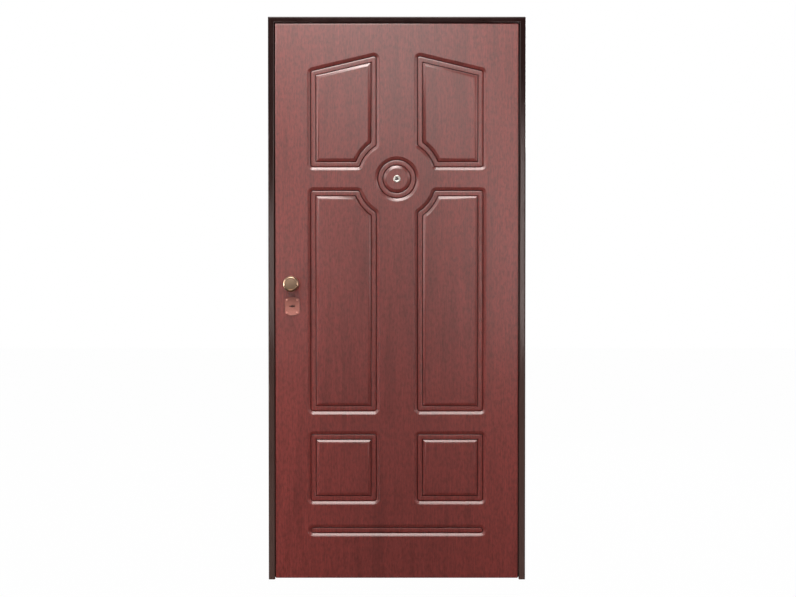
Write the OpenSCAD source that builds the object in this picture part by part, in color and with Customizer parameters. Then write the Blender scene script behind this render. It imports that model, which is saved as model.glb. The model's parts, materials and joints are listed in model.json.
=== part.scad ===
// Panelled steel front door, hung in its pressed-steel frame.
// Millimetres. X runs across the door from the lock side to the hinge side,
// -Y is the outside and Z is up. The origin is on the floor, in the middle
// of the frame's width and depth. The leaf opens inwards, towards +Y.

/* [Frame] */
// Overall width of the frame
frame_w = 937; // [860:1:1100]
// Overall height of the frame
frame_h = 2050; // [1980:1:2300]
// Depth of the frame, outside to inside
frame_d = 84; // [78:1:120]
// Width of the frame's face, seen from outside
face_w = 23; // [20:1:40]
// Width of the frame beside the leaf's edge
rebate_w = 10; // [9:0.5:14]
// Depth of the stop that the leaf closes against
stop_d = 14; // [12:0.5:20]
// Thickness of the frame's sheet
frame_sheet = 2; // [1.2:0.1:2.5]
// Outer radius of the bends at the two edges of the face
bend_r = 4.5; // [3:0.5:6]
// Depth of the flanges that lie against the wall
wall_return = 15; // [10:1:25]
// Length of each arm of the cleats inside the corners
cleat_len = 80; // [50:1:150]
// Thickness of the corner cleats
cleat_t = 3; // [2:0.5:5]
// Radius of the wall fixing holes
fixing_r = 5; // [3:0.5:6]
// Height between the outer wall fixings
fixing_span = 1750; // [1500:1:1850]
// Height between the inner wall fixings
inner_fixing_span = 650; // [500:1:720]
// Width of the rubber seals
seal_w = 8; // [6:0.5:10]

/* [Clearances] */
// Gap between the outer panel and the frame at the lock side
lock_gap = 3; // [2:0.5:6]
// Gap between the outer panel and the frame at the hinge side
hinge_gap = 4; // [2:0.5:6]
// Gap between the outer panel and the frame's head
head_gap = 2; // [1:0.5:6]
// Gap between the steel leaf and the frame around it
leaf_gap = 5; // [4.5:0.5:8]
// Gap between the leaf and the floor
floor_gap = 5; // [3:0.5:15]
// How far the outer panel sits behind the frame's face
panel_recess = 2; // [0:0.5:6]
// Space left between the seals and the leaf that closes on them
seal_touch = 0.3; // [0.2:0.1:1]
// Radial play of the hinge pins
pin_play = 0.05; // [0.02:0.01:0.1]
// Play of the sliding and turning lock pieces, and of drilled holes
slide_play = 0.2; // [0.1:0.05:0.5]

/* [Leaf] */
// Thickness of the moulded outer panel
outer_panel_t = 16; // [13:1:20]
// Thickness of the plain inner panel
inner_panel_t = 7; // [5:0.5:12]
// Steel border left around the inner panel
inner_inset = 40; // [38:1:60]
// Thickness of the leaf's steel sheet
leaf_sheet = 1.5; // [0.8:0.1:2]
// Bevel on the panels' edges
panel_bevel = 1.5; // [0.5:0.25:3]
// Distance of the stiffeners from the middle of the leaf
stiffener_x = 170; // [120:1:220]
// Flange width of the stiffeners
stiffener_flange = 40; // [20:1:60]

/* [Mouldings] */
// Half the width of the routed groove
groove_r = 22.5; // [21:0.5:26]
// Deepest point of the groove
groove_depth = 6.5; // [5:0.25:8]
// Width of the bead along the middle of the groove
bead_w = 16; // [12:0.5:18]
// Height of that bead
bead_h = 1.8; // [0.5:0.1:3]
// Width of the groove's steep wall
wall_w = 6.5; // [4:0.5:8]
// Depth of the shoulder at the top of the wall
shoulder_depth = 2.2; // [1.6:0.1:3]
// Depth of the rounded lip at the groove's edge
lip_depth = 1.5; // [0.5:0.1:1.5]
// Width of that lip
lip_w = 2.5; // [1:0.25:3]
// Width of each field, along the middle of its groove
field_w = 219; // [190:1:235]
// Distance between the two columns of fields
field_gap = 167; // [150:1:180]
// Height of the bar below the fields
bar_z = 179; // [120:1:190]
// Bottom of the square fields
square_bottom_z = 296; // [260:1:300]
// Top of the square fields
square_top_z = 521; // [500:1:540]
// Bottom of the tall fields
tall_bottom_z = 625; // [610:1:660]
// Top of the tall fields
tall_top_z = 1410; // [1400:1:1415]
// Bottom of the upper fields
upper_bottom_z = 1515; // [1510:1:1525]
// Top of the upper fields at their outer corners
upper_outer_z = 1846; // [1800:1:1860]
// Top of the upper fields at their inner corners
upper_inner_z = 1898; // [1870:1:1920]
// Height of the roundel and the door viewer
roundel_z = 1462; // [1459:1:1466]
// Radius of the roundel's groove
roundel_r = 60; // [56:1:64]
// Radius of the fields' hollow corners around the roundel
hollow_r = 153; // [146:1:158]
// Cuts that make up each hollow corner
hollow_steps = 6; // [3:1:10]

/* [Lock] */
// Distance of the knob and the key from the leaf's edge
backset = 72; // [70:1:76]
// Height of the knob and the lever
handle_z = 1080; // [1076:1:1090]
// Height of the key
key_z = 999; // [990:1:1002]
// Radius of the round bolts
bolt_r = 8; // [6:0.5:9]
// Distance between the bolts
bolt_pitch = 28; // [22:1:30]
// Number of bolts
bolt_count = 4; // [2:1:4]
// Height of the lowest bolt below the key
bolt_drop = 56; // [50:1:60]
// Depth of the lock case behind its faceplate
case_d = 100; // [96:1:120]
// Height of the lock case
case_h = 230; // [226:1:250]
// Thickness of the lock case
case_t = 22; // [20:0.5:28]
// Sheet thickness of the lock case
case_sheet = 1.5; // [1:0.1:2]
// Width of the faceplate on the leaf's edge
faceplate_w = 24; // [22:1:30]
// How far the faceplate reaches past each end of the lock case
faceplate_over = 20; // [18:1:35]
// Thickness of the faceplate
faceplate_t = 3; // [2.5:0.5:4]
// Radius of the rod that locks into the head
rod_r = 5; // [4:0.5:6]
// Height of the latch's head
latch_h = 26; // [20:1:32]
// Thickness of the latch
latch_t = 13; // [10:0.5:16]
// Thickness of the keep behind the jamb
keep_t = 3; // [2:0.5:4]
// Width of the keyhole across its two wings
keyhole_w = 21; // [16:0.5:22]
// Height of the keyhole's wings
keyhole_h = 4.6; // [4.4:0.1:5.5]
// Radius of the keyhole's round middle
keyhole_r = 4.4; // [4.2:0.1:5]

/* [Handles] */
// Radius of the knob at its widest
knob_r = 29; // [24:0.5:34]
// How far the knob stands out from the panel
knob_reach = 65; // [55:1:80]
// Radius of the knob's neck
knob_neck_r = 10; // [8:0.5:12]
// Radius of the flat disc on the knob's front
knob_disc_r = 20.5; // [15:0.5:22]
// Radius of the rose behind the knob
knob_rose_r = 24; // [20:0.5:28]
// Thickness of that rose
knob_rose_t = 7; // [5:0.5:10]
// Radius of the knob's fixing stud
stud_r = 4; // [3:0.5:5]
// Length of the inner lever from its axis
lever_len = 115; // [100:1:140]
// Radius of the lever's bar
lever_r = 10; // [9:0.5:12]
// How far the lever stands out from the inner panel
lever_reach = 56; // [50:1:70]
// Radius of the rose behind the lever
lever_rose_r = 26; // [22:0.5:28]
// Thickness of that rose
lever_rose_t = 8; // [6:0.5:10]
// Side of the lever's square spindle
spindle_w = 8; // [7:0.5:9]
// Width of the plate around the key
defender_w = 52; // [46:1:60]
// Height of that plate
defender_h = 66; // [60:1:80]
// Thickness of that plate
defender_t = 5; // [3.5:0.5:8]
// Height of the arch at the plate's top and bottom
defender_arch = 7; // [4:0.5:10]
// Distance between its screws, across
defender_screw_x = 37; // [34:0.5:40]
// Distance between its screws, upright
defender_screw_z = 46; // [40:0.5:50]
// Radius of the panel screws
screw_r = 2; // [1.5:0.25:2.5]
// Radius of the door viewer's bezel
viewer_r = 13; // [11:0.5:16]
// Length of the door viewer's barrel
viewer_len = 60; // [55:1:70]
// Length of the eyepiece's tube inside the barrel
viewer_overlap = 20; // [10:1:30]
// Radius of the door viewer's barrel
viewer_barrel_r = 7; // [6.5:0.25:8]

/* [Hinges] */
// Height of the lowest hinge
low_hinge_z = 250; // [220:1:320]
// Distance of the highest hinge below the top of the leaf
hinge_drop = 235; // [185:1:320]
// Radius of the hinge knuckles
knuckle_r = 9; // [8:0.5:11]
// Height of each knuckle
knuckle_h = 50; // [40:1:60]
// Radius of the hinge pins
pin_r = 4; // [3:0.5:5]
// Thickness of the hinge wings
wing_t = 3; // [2:0.5:4]
// Width of the wing on the leaf
wing_w = 40; // [34:1:42]
// Thickness of the washers between the knuckles
washer_t = 2; // [1:0.5:3]
// Distance of the knuckles from the leaf
knuckle_gap = 0.5; // [0.4:0.1:1]
// Radius of the fixed bolts on the hinge side
dog_r = 7; // [5:0.5:8]
// Height between the outer fixed bolts
dog_span = 1090; // [1000:1:1150]
// Height between the inner fixed bolts
inner_dog_span = 350; // [300:1:420]

/* [Hidden] */
$fn = 64;
over = 1;                       // how far a cut runs past a face
play = slide_play;

half_w = frame_w / 2;
y_ext = -frame_d / 2;           // face of the frame
y_int = frame_d / 2;            // inner edge of the frame
y_stop = y_ext + stop_d;
panel_front = y_ext + panel_recess;
leaf_front = panel_front + outer_panel_t;
leaf_back = y_int;
inner_face = leaf_back + inner_panel_t;
lock_edge = -half_w + rebate_w + leaf_gap;
hinge_edge = -lock_edge;
leaf_top = frame_h - rebate_w - leaf_gap;
leaf_bottom = floor_gap;
mid_z = frame_h / 2;

panel_left = -half_w + face_w + lock_gap;
panel_right = half_w - face_w - hinge_gap;
panel_top = frame_h - face_w - head_gap;
panel_x = (panel_left + panel_right) / 2;
inner_x = field_gap / 2;
outer_x = inner_x + field_w;

handle_x = lock_edge + backset;
lock_y = (leaf_front + leaf_back) / 2;
lock_z = (handle_z + key_z) / 2 - 20;      // middle of the lock case
case_front = lock_edge + faceplate_t;
case_back = case_front + case_d;
case_y0 = lock_y - case_t / 2;
case_y1 = lock_y + case_t / 2;
bolt_zs = [for (i = [0:bolt_count - 1]) key_z - bolt_drop + i * bolt_pitch];
bolt_tip = lock_edge + 0.5;
carriage_x = handle_x - 23;
carriage_t = 8;
rod_x = lock_edge + 33;
rod_guide_h = 30;
rod_guide_z = (handle_z + leaf_top) / 2;
keep_screw_z = case_h / 2 - 8;
keep_screw_y = 11;
faceplate_h = case_h + 2 * faceplate_over;
faceplate_screw_z = faceplate_h / 2 - 8;
keyway_r = keyhole_w / 2 + 1.5;            // drilled way for the key, under the plates
hub_r = spindle_w * 0.5 * sqrt(2) + 3.4;

seal_h = leaf_front - y_stop - seal_touch;
seal_s = rebate_w + 3 + seal_w / 2;        // middle of the seal, from the frame's edge

hinge_x = hinge_edge + leaf_gap / 2;
hinge_y = leaf_back + knuckle_r + knuckle_gap;
high_hinge_z = leaf_top - hinge_drop;
hinge_zs = [low_hinge_z, (low_hinge_z + high_hinge_z) / 2, high_hinge_z];
wing_screws = [for (x = [14, 30]) for (z = [12, knuckle_h - 12]) [x, z]];
dog_zs = [for (s = [-dog_span, -inner_dog_span, inner_dog_span, dog_span]) mid_z + s / 2];
fixing_zs = [for (s = [-fixing_span, -inner_fixing_span, inner_fixing_span, fixing_span]) mid_z + s / 2];

frame_brown = [0.17, 0.11, 0.09];
mahogany = [0.40, 0.17, 0.15];
bronze = [0.55, 0.43, 0.33];
copper = [0.62, 0.38, 0.33];
steel = [0.62, 0.62, 0.63];
nickel = [0.78, 0.77, 0.74];
brass = [0.72, 0.58, 0.32];
rubber = [0.07, 0.07, 0.07];
wool = [0.72, 0.66, 0.42];
glass = [0.55, 0.62, 0.62];

// Points on an arc about c, from angle a0 to a1
function arc(c, r, a0, a1, n) =
    [for (i = [0:n]) let (a = a0 + (a1 - a0) * i / n) c + r * [cos(a), sin(a)]];

// A cylinder along X, from x0 to x1
module rod_x(r, x0, x1, y, z) {
    translate([x0, y, z]) rotate([0, 90, 0]) cylinder(r = r, h = x1 - x0);
}

// A cylinder along Y, from y0 to y1
module rod_y(r, y0, y1, x, z) {
    translate([x, y0, z]) rotate([-90, 0, 0]) cylinder(r = r, h = y1 - y0);
}

// A box from its lowest to its highest corner
module span(a, b) {
    translate(a) cube(b - a);
}

// The frame's folded sheet: s from the outer edge inwards, then depth
module frame_section() {
    t = frame_sheet;
    difference() {
        polygon(concat(
            arc([bend_r, y_ext + bend_r], bend_r, 180, 270, 4),
            arc([face_w - bend_r, y_ext + bend_r], bend_r, 270, 360, 4),
            [[face_w, y_stop], [rebate_w, y_stop], [rebate_w, y_int], [0, y_int]]));
        polygon(concat(
            arc([bend_r, y_ext + bend_r], bend_r - t, 180, 270, 4),
            arc([face_w - bend_r, y_ext + bend_r], bend_r - t, 270, 360, 4),
            [[face_w - t, y_stop - t], [rebate_w - t, y_stop - t],
             [rebate_w - t, y_int - t], [t, y_int - t]]));
        translate([-over, y_ext + wall_return])
            square([t + 2 * over, frame_d - 2 * wall_return]);
    }
}

// The half space on one side of the mitre at the lock side's top corner
module mitre_side(side) {
    translate([-half_w, 0, frame_h]) rotate([0, 45, 0])
        translate([-frame_h, -frame_d, side > 0 ? 0 : -frame_h])
            cube([2 * frame_h, 2 * frame_d, frame_h]);
}

// An upright of the frame at the lock side, with its wall fixing holes
module jamb() {
    difference() {
        translate([-half_w, 0, 0]) linear_extrude(frame_h) frame_section();
        mitre_side(1);
        for (z = fixing_zs) jamb_hole(fixing_r, lock_y, z);
    }
}

// A hole through the jamb's sheet beside the leaf
module jamb_hole(r, y, z) {
    rod_x(r, -half_w + rebate_w - frame_sheet - over, -half_w + rebate_w + over, y, z);
}

// The ways of the bolts and the latch, from x0 to x1
module lock_ways(x0, x1, gap) {
    for (z = bolt_zs) rod_x(bolt_r + gap, x0, x1, lock_y, z);
    span([x0, lock_y - latch_t / 2 - gap, handle_z - latch_h / 2 - gap],
         [x1, lock_y + latch_t / 2 + gap, handle_z + latch_h / 2 + gap]);
}

module lock_jamb() {
    color(frame_brown) difference() {
        jamb();
        lock_ways(-half_w + rebate_w - frame_sheet - over, -half_w + rebate_w + over, 1.5);
        for (y = [-keep_screw_y, keep_screw_y]) for (z = [-keep_screw_z, keep_screw_z])
            jamb_hole(screw_r + play, lock_y + y, lock_z + z);
    }
}

module hinge_jamb() {
    color(frame_brown) difference() {
        mirror([1, 0, 0]) jamb();
        mirror([1, 0, 0]) for (z = dog_zs) jamb_hole(dog_r + 3, lock_y, z);
    }
}

module frame_head() {
    color(frame_brown) difference() {
        translate([-half_w, 0, frame_h]) rotate([0, 90, 0]) linear_extrude(frame_w) frame_section();
        mitre_side(-1);
        mirror([1, 0, 0]) mitre_side(-1);
        translate([rod_x, lock_y, frame_h - rebate_w - over])
            cylinder(r = rod_r + 1.5, h = frame_sheet + 2 * over);
    }
}

// Angle plates that hold the mitres together, inside the face
module corner_cleats() {
    s0 = bend_r;
    s1 = face_w - bend_r;
    y0 = y_ext + frame_sheet;
    color(steel) for (m = [0, 1]) mirror([m, 0, 0]) {
        span([-half_w + s0, y0, frame_h - cleat_len], [-half_w + s1, y0 + cleat_t, frame_h - s0]);
        span([-half_w + s1, y0, frame_h - s1], [-half_w + cleat_len, y0 + cleat_t, frame_h - s0]);
    }
}

// The seal's section: a low arch that stands on the stop
module seal_section() {
    polygon([for (a = [0:15:180]) [seal_w / 2 * cos(a), seal_h * sin(a)]]);
}

module side_seal() {
    translate([-half_w + seal_s, y_stop, 0])
        linear_extrude(frame_h - rebate_w - frame_sheet) seal_section();
}

module lock_side_seal() { color(rubber) side_seal(); }
module hinge_side_seal() { color(rubber) mirror([1, 0, 0]) side_seal(); }

module head_seal() {
    w = frame_w - 2 * seal_s - seal_w;
    color(rubber) translate([-w / 2, y_stop, frame_h - seal_s])
        rotate([0, 90, 0]) linear_extrude(w) seal_section();
}

// The keep behind the lock jamb, where the bolts and the latch enter
module keep_plate() {
    x1 = -half_w + rebate_w - frame_sheet;
    color(steel) difference() {
        span([x1 - keep_t, lock_y - 16, lock_z - case_h / 2], [x1, lock_y + 16, lock_z + case_h / 2]);
        lock_ways(x1 - keep_t - over, x1 + over, 0.6);
        for (y = [-keep_screw_y, keep_screw_y]) for (z = [-keep_screw_z, keep_screw_z])
            rod_x(screw_r + play, x1 - keep_t - over, x1 + over, lock_y + y, lock_z + z);
    }
}

module keep_screws() {
    x1 = -half_w + rebate_w;
    color(steel) for (y = [-keep_screw_y, keep_screw_y]) for (z = [-keep_screw_z, keep_screw_z]) {
        rod_x(2 * screw_r, x1, x1 + 1, lock_y + y, lock_z + z);
        rod_x(screw_r, x1 - frame_sheet - keep_t, x1, lock_y + y, lock_z + z);
    }
}

module frame_knuckle(z) {
    color(frame_brown) difference() {
        union() {
            translate([hinge_x, hinge_y, z - knuckle_h]) cylinder(r = knuckle_r, h = knuckle_h);
            span([hinge_x, y_int, z - knuckle_h], [half_w - 0.5, y_int + wing_t, z]);
        }
        translate([hinge_x, hinge_y, z - knuckle_h - over]) cylinder(r = pin_r, h = knuckle_h + 2 * over);
    }
}

module hinge_pin(z) {
    color(steel) translate([hinge_x, hinge_y, z - knuckle_h])
        cylinder(r = pin_r, h = 2 * knuckle_h + washer_t - 8);
}

module hinge_washer(z) {
    color(brass) translate([hinge_x, hinge_y, z]) difference() {
        cylinder(r = knuckle_r - 0.5, h = washer_t);
        translate([0, 0, -over]) cylinder(r = pin_r + play, h = washer_t + 2 * over);
    }
}

module leaf_knuckle(z) {
    z0 = z + washer_t + pin_play;
    color(frame_brown) difference() {
        union() {
            translate([hinge_x, hinge_y, z0]) cylinder(r = knuckle_r, h = knuckle_h);
            span([hinge_edge - wing_w, leaf_back, z0], [hinge_x, leaf_back + wing_t, z0 + knuckle_h]);
        }
        translate([hinge_x, hinge_y, z0 - over])
            cylinder(r = pin_r + pin_play, h = knuckle_h - 4 + over);
        for (p = wing_screws)
            rod_y(screw_r + play, leaf_back - over, leaf_back + wing_t + over, hinge_edge - p.x, z0 + p.y);
    }
}

module hinge_screws() {
    color(steel) for (z = hinge_zs) for (p = wing_screws) {
        z0 = z + washer_t + pin_play + p.y;
        rod_y(2 * screw_r, leaf_back + wing_t, leaf_back + wing_t + screw_r, hinge_edge - p.x, z0);
        rod_y(screw_r, leaf_back - 4 * screw_r, leaf_back + wing_t, hinge_edge - p.x, z0);
    }
}

// Fixed bolts on the leaf's hinge edge, which enter the jamb as the leaf shuts
module fixed_hinge_bolts() {
    x0 = hinge_edge - leaf_sheet;
    color(steel) for (z = dog_zs) {
        rod_x(dog_r + 4, x0 - 6, x0, lock_y, z);
        rod_x(dog_r, x0, hinge_edge + 4, lock_y, z);
        translate([hinge_edge + 4, lock_y, z]) rotate([0, 90, 0])
            cylinder(r1 = dog_r, r2 = dog_r - 2, h = rebate_w - 2);
    }
}

// The folded outer sheet of the leaf, a tray that opens inwards
module leaf_shell() {
    t = leaf_sheet;
    color(frame_brown) difference() {
        span([lock_edge, leaf_front, leaf_bottom], [hinge_edge, leaf_back, leaf_top]);
        span([lock_edge + t, leaf_front + t, leaf_bottom + t], [hinge_edge - t, leaf_back + over, leaf_top - t]);
        span([lock_edge - over, lock_y - faceplate_w / 2, lock_z - faceplate_h / 2],
             [lock_edge + t + over, lock_y + faceplate_w / 2, lock_z + faceplate_h / 2]);
        for (z = dog_zs) rod_x(dog_r + play, hinge_edge - t - over, hinge_edge + over, lock_y, z);
        translate([rod_x, lock_y, leaf_top - t - over]) cylinder(r = rod_r + play, h = t + 2 * over);
        front_holes(leaf_front - over, leaf_front + t + over);
    }
}

// Holes in what lies in front of the lock: knob stud, key and viewer
module front_holes(y0, y1) {
    rod_y(stud_r + play, y0, y1, handle_x, handle_z);
    rod_y(keyway_r, y0, y1, handle_x, key_z);
    rod_y(viewer_barrel_r + play, y0, y1, 0, roundel_z);
}

// Holes in what lies behind the lock: spindle, key and viewer
module back_holes(y0, y1) {
    rod_y(hub_r + 1, y0, y1, handle_x, handle_z);
    rod_y(keyway_r, y0, y1, handle_x, key_z);
    rod_y(viewer_barrel_r - 1.6 + play, y0, y1, 0, roundel_z);
}

module leaf_cover() {
    t = leaf_sheet;
    color(frame_brown) difference() {
        span([lock_edge + t, leaf_back - t, leaf_bottom + t], [hinge_edge - t, leaf_back, leaf_top - t]);
        back_holes(leaf_back - t - over, leaf_back + over);
        for (z = hinge_zs) for (p = wing_screws)
            rod_y(screw_r + play, leaf_back - t - over, leaf_back + over,
                  hinge_edge - p.x, z + washer_t + pin_play + p.y);
    }
}

module stiffeners() {
    t = leaf_sheet;
    y0 = leaf_front + t;
    y1 = leaf_back - t;
    color(steel) for (m = [0, 1]) mirror([m, 0, 0])
        translate([stiffener_x, 0, leaf_bottom + t]) linear_extrude(leaf_top - leaf_bottom - 2 * t) {
            translate([-t, y0]) square([t, y1 - y0]);
            translate([-stiffener_flange, y0]) square([stiffener_flange - t, t]);
            translate([-stiffener_flange, y1 - t]) square([stiffener_flange - t, t]);
        }
}

// Mineral wool between the stiffeners, clear of the lock and the hinge screws
module insulation() {
    t = leaf_sheet;
    y0 = leaf_front + 2 * t + play;
    y1 = leaf_back - 2 * t - play;
    z0 = leaf_bottom + t;
    z1 = leaf_top - t;
    color(wool) {
        span([case_back + 12, y0, z0], [-stiffener_x, y1, z1]);
        difference() {
            span([-stiffener_x + t, y0, z0], [stiffener_x - t, y1, z1]);
            rod_y(viewer_barrel_r + 1, y0 - over, y1 + over, 0, roundel_z);
        }
        span([stiffener_x, y0, z0], [hinge_edge - wing_w - 8, y1, z1]);
    }
}

function s_curve(t) = (1 - cos(180 * t)) / 2;

// Half of the groove's section, from its middle to its edge: [distance, height]
groove_half = concat(
    [for (i = [0:2]) let (t = i / 2) [bead_w / 2 * t, bead_h * cos(90 * t) - groove_depth]],
    [for (i = [1:3]) let (t = i / 3)
        [bead_w / 2 + wall_w * t, (groove_depth - shoulder_depth) * s_curve(t) - groove_depth]],
    [for (a = [0:45:90]) [groove_r - lip_w * cos(a), lip_depth * (sin(a) - 1)]]);

module groove_half_section() {
    polygon(concat(groove_half, [[groove_r, over], [0, over]]));
}

module groove_section() {
    polygon(groove_line);
}

// The whole section from its outer to its inner edge, with the air above the face
groove_line = concat(
    [[-groove_r, over]],
    [for (i = [len(groove_half) - 1:-1:1]) [-groove_half[i].x, groove_half[i].y]],
    groove_half, [[groove_r, over]]);
line_n = len(groove_line);
outer_n = len(groove_half);     // points of the section outside the path's line
inner_n = line_n - outer_n;

function heading(a, b) = atan2(b.y - a.y, b.x - a.x);
function next(p, i) = p[(i + 1) % len(p)];
function prev(p, i) = p[(i + len(p) - 1) % len(p)];
function polar(r, a) = [r * cos(a), r * sin(a)];
function sum(v, n) = n == 0 ? 0 : v[n - 1] + sum(v, n - 1);

// How far a path turns at its point i, to the left, and the cuts that its round outside takes
function turn_at(p, i) = (heading(p[i], next(p, i)) - heading(prev(p, i), p[i]) + 900) % 360 - 180;
function fan_steps(turn) = turn > 0 ? ceil(turn / 22.5) : 0;

// The section's points round a corner: one set of outer points for each cut, then the mitred inner ones
function corner_points(p, i) = let (
    turn = turn_at(p, i), n = fan_steps(turn), h = heading(prev(p, i), p[i]), mitre = 1 / cos(turn / 2))
    concat(
        [for (k = [0:n]) for (j = [0:outer_n - 1])
            let (q = p[i] + polar(-groove_line[j].x * (n == 0 ? mitre : 1), h - 90 + turn * (n == 0 ? 0.5 : k / n)))
            [q.x, q.y, groove_line[j].y]],
        [for (j = [outer_n:line_n - 1])
            let (q = p[i] + polar(groove_line[j].x * mitre, h + 90 + turn / 2)) [q.x, q.y, groove_line[j].y]]);

// A closed groove, anticlockwise, in the plane of the panel's face
module groove_path(p) {
    n = len(p);
    steps = [for (i = [0:n - 1]) fan_steps(turn_at(p, i))];
    sizes = [for (s = steps) (s + 1) * outer_n + inner_n];
    first = [for (i = [0:n - 1]) sum(sizes, i)];
    function at(i, k, j) = first[i] + (j < outer_n ? k * outer_n + j : steps[i] * outer_n + j);
    fans = [for (i = [0:n - 1]) for (k = [0:1:steps[i] - 1]) each concat(
        [for (j = [0:outer_n - 2]) [at(i, k, j), at(i, k + 1, j), at(i, k + 1, j + 1), at(i, k, j + 1)]],
        [[at(i, k, outer_n - 1), at(i, k + 1, outer_n - 1), at(i, k, outer_n)],
         [at(i, k, line_n - 1), at(i, k + 1, 0), at(i, k, 0)]])];
    straights = [for (i = [0:n - 1]) for (j = [0:line_n - 1])
        let (i1 = (i + 1) % n, j1 = (j + 1) % line_n)
        [at(i, steps[i], j), at(i1, 0, j), at(i1, 0, j1), at(i, steps[i], j1)]];
    polyhedron([for (i = [0:n - 1]) each corner_points(p, i)], concat(fans, straights), convexity = 10);
}

// The groove of the bar: a straight cut with round ends
module groove_bar(a, b) {
    translate(a) rotate([90, 0, 90]) linear_extrude(b.x - a.x) groove_section();
    translate(a) rotate([0, 0, 90]) rotate_extrude(angle = 180) groove_half_section();
    translate(b) rotate([0, 0, -90]) rotate_extrude(angle = 180) groove_half_section();
}

// Points on the hollow's circle from angle a0 to a1, both included
function hollow(a0, a1) =
    [for (i = [0:hollow_steps]) polar(hollow_r, a0 + (a1 - a0) * i / hollow_steps)];

// Heights of the fields' lines above the roundel's middle, and the ends of their hollows
upper_y = upper_bottom_z - roundel_z;
tall_y = tall_top_z - roundel_z;
upper_ends = [180 - asin(upper_y / hollow_r), 180 - acos(inner_x / hollow_r)];
tall_ends = [acos(inner_x / hollow_r) - 180, -180 - asin(tall_y / hollow_r)];

upper_field = concat(
    [[-outer_x, upper_y]], hollow(upper_ends[0], upper_ends[1]),
    [[-inner_x, upper_inner_z - roundel_z], [-outer_x, upper_outer_z - roundel_z]]);
tall_field = concat(
    [[-outer_x, tall_bottom_z - roundel_z], [-inner_x, tall_bottom_z - roundel_z]],
    hollow(tall_ends[0], tall_ends[1]), [[-outer_x, tall_y]]);
square_field = [
    [-outer_x, square_bottom_z - roundel_z], [-inner_x, square_bottom_z - roundel_z],
    [-inner_x, square_top_z - roundel_z], [-outer_x, square_top_z - roundel_z]];

// The same path at the other side of the door, again anticlockwise
function mirrored(p) = [for (i = [len(p) - 1:-1:0]) [-p[i].x, p[i].y]];

// All the grooves, from the roundel's middle, with the cutter coming from +z
module grooves() {
    for (field = [upper_field, tall_field, square_field]) {
        groove_path(field);
        groove_path(mirrored(field));
    }
    rotate_extrude() translate([roundel_r, 0]) groove_section();
    groove_bar([-outer_x, bar_z - roundel_z], [outer_x, bar_z - roundel_z]);
}

// A board with its front edges bevelled: front faces -Y on the outer side
module board(a, b, front) {
    c = panel_bevel;
    y0 = front < 0 ? a.y : b.y;
    y1 = front < 0 ? b.y : a.y;
    k = -front * c;
    intersection() {
        translate([0, 0, a.z]) linear_extrude(b.z - a.z)
            polygon([[a.x, y1], [a.x, y0 + k], [a.x + c, y0], [b.x - c, y0], [b.x, y0 + k], [b.x, y1]]);
        translate([a.x, 0, 0]) rotate([90, 0, 90]) linear_extrude(b.x - a.x)
            polygon([[y1, a.z], [y0 + k, a.z], [y0, a.z + c], [y0, b.z - c], [y0 + k, b.z], [y1, b.z]]);
    }
}

module outer_panel() {
    color(mahogany) difference() {
        board([panel_left, panel_front, leaf_bottom], [panel_right, leaf_front, panel_top], -1);
        translate([0, panel_front, roundel_z]) rotate([90, 0, 0]) grooves();
        front_holes(panel_front - over, leaf_front + over);
        defender_screw_holes(panel_front - over, panel_front + 6 * screw_r + play);
    }
}

module inner_panel() {
    color(mahogany) difference() {
        board([lock_edge + inner_inset, leaf_back, leaf_bottom + inner_inset],
              [hinge_edge - inner_inset - wing_t, inner_face, leaf_top - inner_inset], 1);
        back_holes(leaf_back - over, inner_face + over);
        for (s = [-1, 1])
            rod_y(screw_r + play, leaf_back - over, inner_face + over, handle_x, key_z + s * defender_screw_z / 2);
    }
}

// The shape of the key: a round middle and two wings
module keyhole(y0, y1) {
    rod_y(keyhole_r, y0, y1, handle_x, key_z);
    span([handle_x - keyhole_w / 2, y0, key_z - keyhole_h / 2],
         [handle_x + keyhole_w / 2, y1, key_z + keyhole_h / 2]);
}

module lock_case() {
    t = case_sheet;
    z0 = lock_z - case_h / 2;
    z1 = lock_z + case_h / 2;
    color(steel) difference() {
        span([case_front, case_y0, z0], [case_back, case_y1 - t, z1]);
        span([case_front + t, case_y0 + t, z0 + t], [case_back - t, case_y1, z1 - t]);
        lock_ways(case_front - over, case_front + t + over, play);
        keyhole(case_y0 - over, case_y0 + t + over);
        rod_y(hub_r + play, case_y0 - over, case_y0 + t + over, handle_x, handle_z);
        translate([rod_x, lock_y, z1 - t - over]) cylinder(r = rod_r + play, h = t + 2 * over);
    }
}

module lock_cover() {
    t = case_sheet;
    color(steel) difference() {
        span([case_front, case_y1 - t, lock_z - case_h / 2], [case_back, case_y1, lock_z + case_h / 2]);
        keyhole(case_y1 - t - over, case_y1 + over);
        rod_y(hub_r + play, case_y1 - t - over, case_y1 + over, handle_x, handle_z);
    }
}

module lock_faceplate() {
    color(steel) difference() {
        span([lock_edge, lock_y - faceplate_w / 2, lock_z - faceplate_h / 2],
             [case_front, lock_y + faceplate_w / 2, lock_z + faceplate_h / 2]);
        lock_ways(lock_edge - over, case_front + over, play);
        for (s = [-1, 1]) {
            rod_x(screw_r + play, lock_edge - over, case_front + over, lock_y, lock_z + s * faceplate_screw_z);
            rod_x(2 * screw_r + play, lock_edge - over, lock_edge + 1.5, lock_y, lock_z + s * faceplate_screw_z);
        }
    }
}

module faceplate_screws() {
    color(steel) for (s = [-1, 1]) {
        rod_x(2 * screw_r, lock_edge + 0.1, lock_edge + 1.5, lock_y, lock_z + s * faceplate_screw_z);
        rod_x(screw_r, lock_edge + 1.5, case_front + 12, lock_y, lock_z + s * faceplate_screw_z);
    }
}

// Turns a [radius, distance out of the panel] outline into a solid on the knob's axis
module turned_on_knob(outline) {
    translate([handle_x, panel_front, handle_z]) rotate([90, 0, 0]) rotate_extrude() polygon(outline);
}

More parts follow.
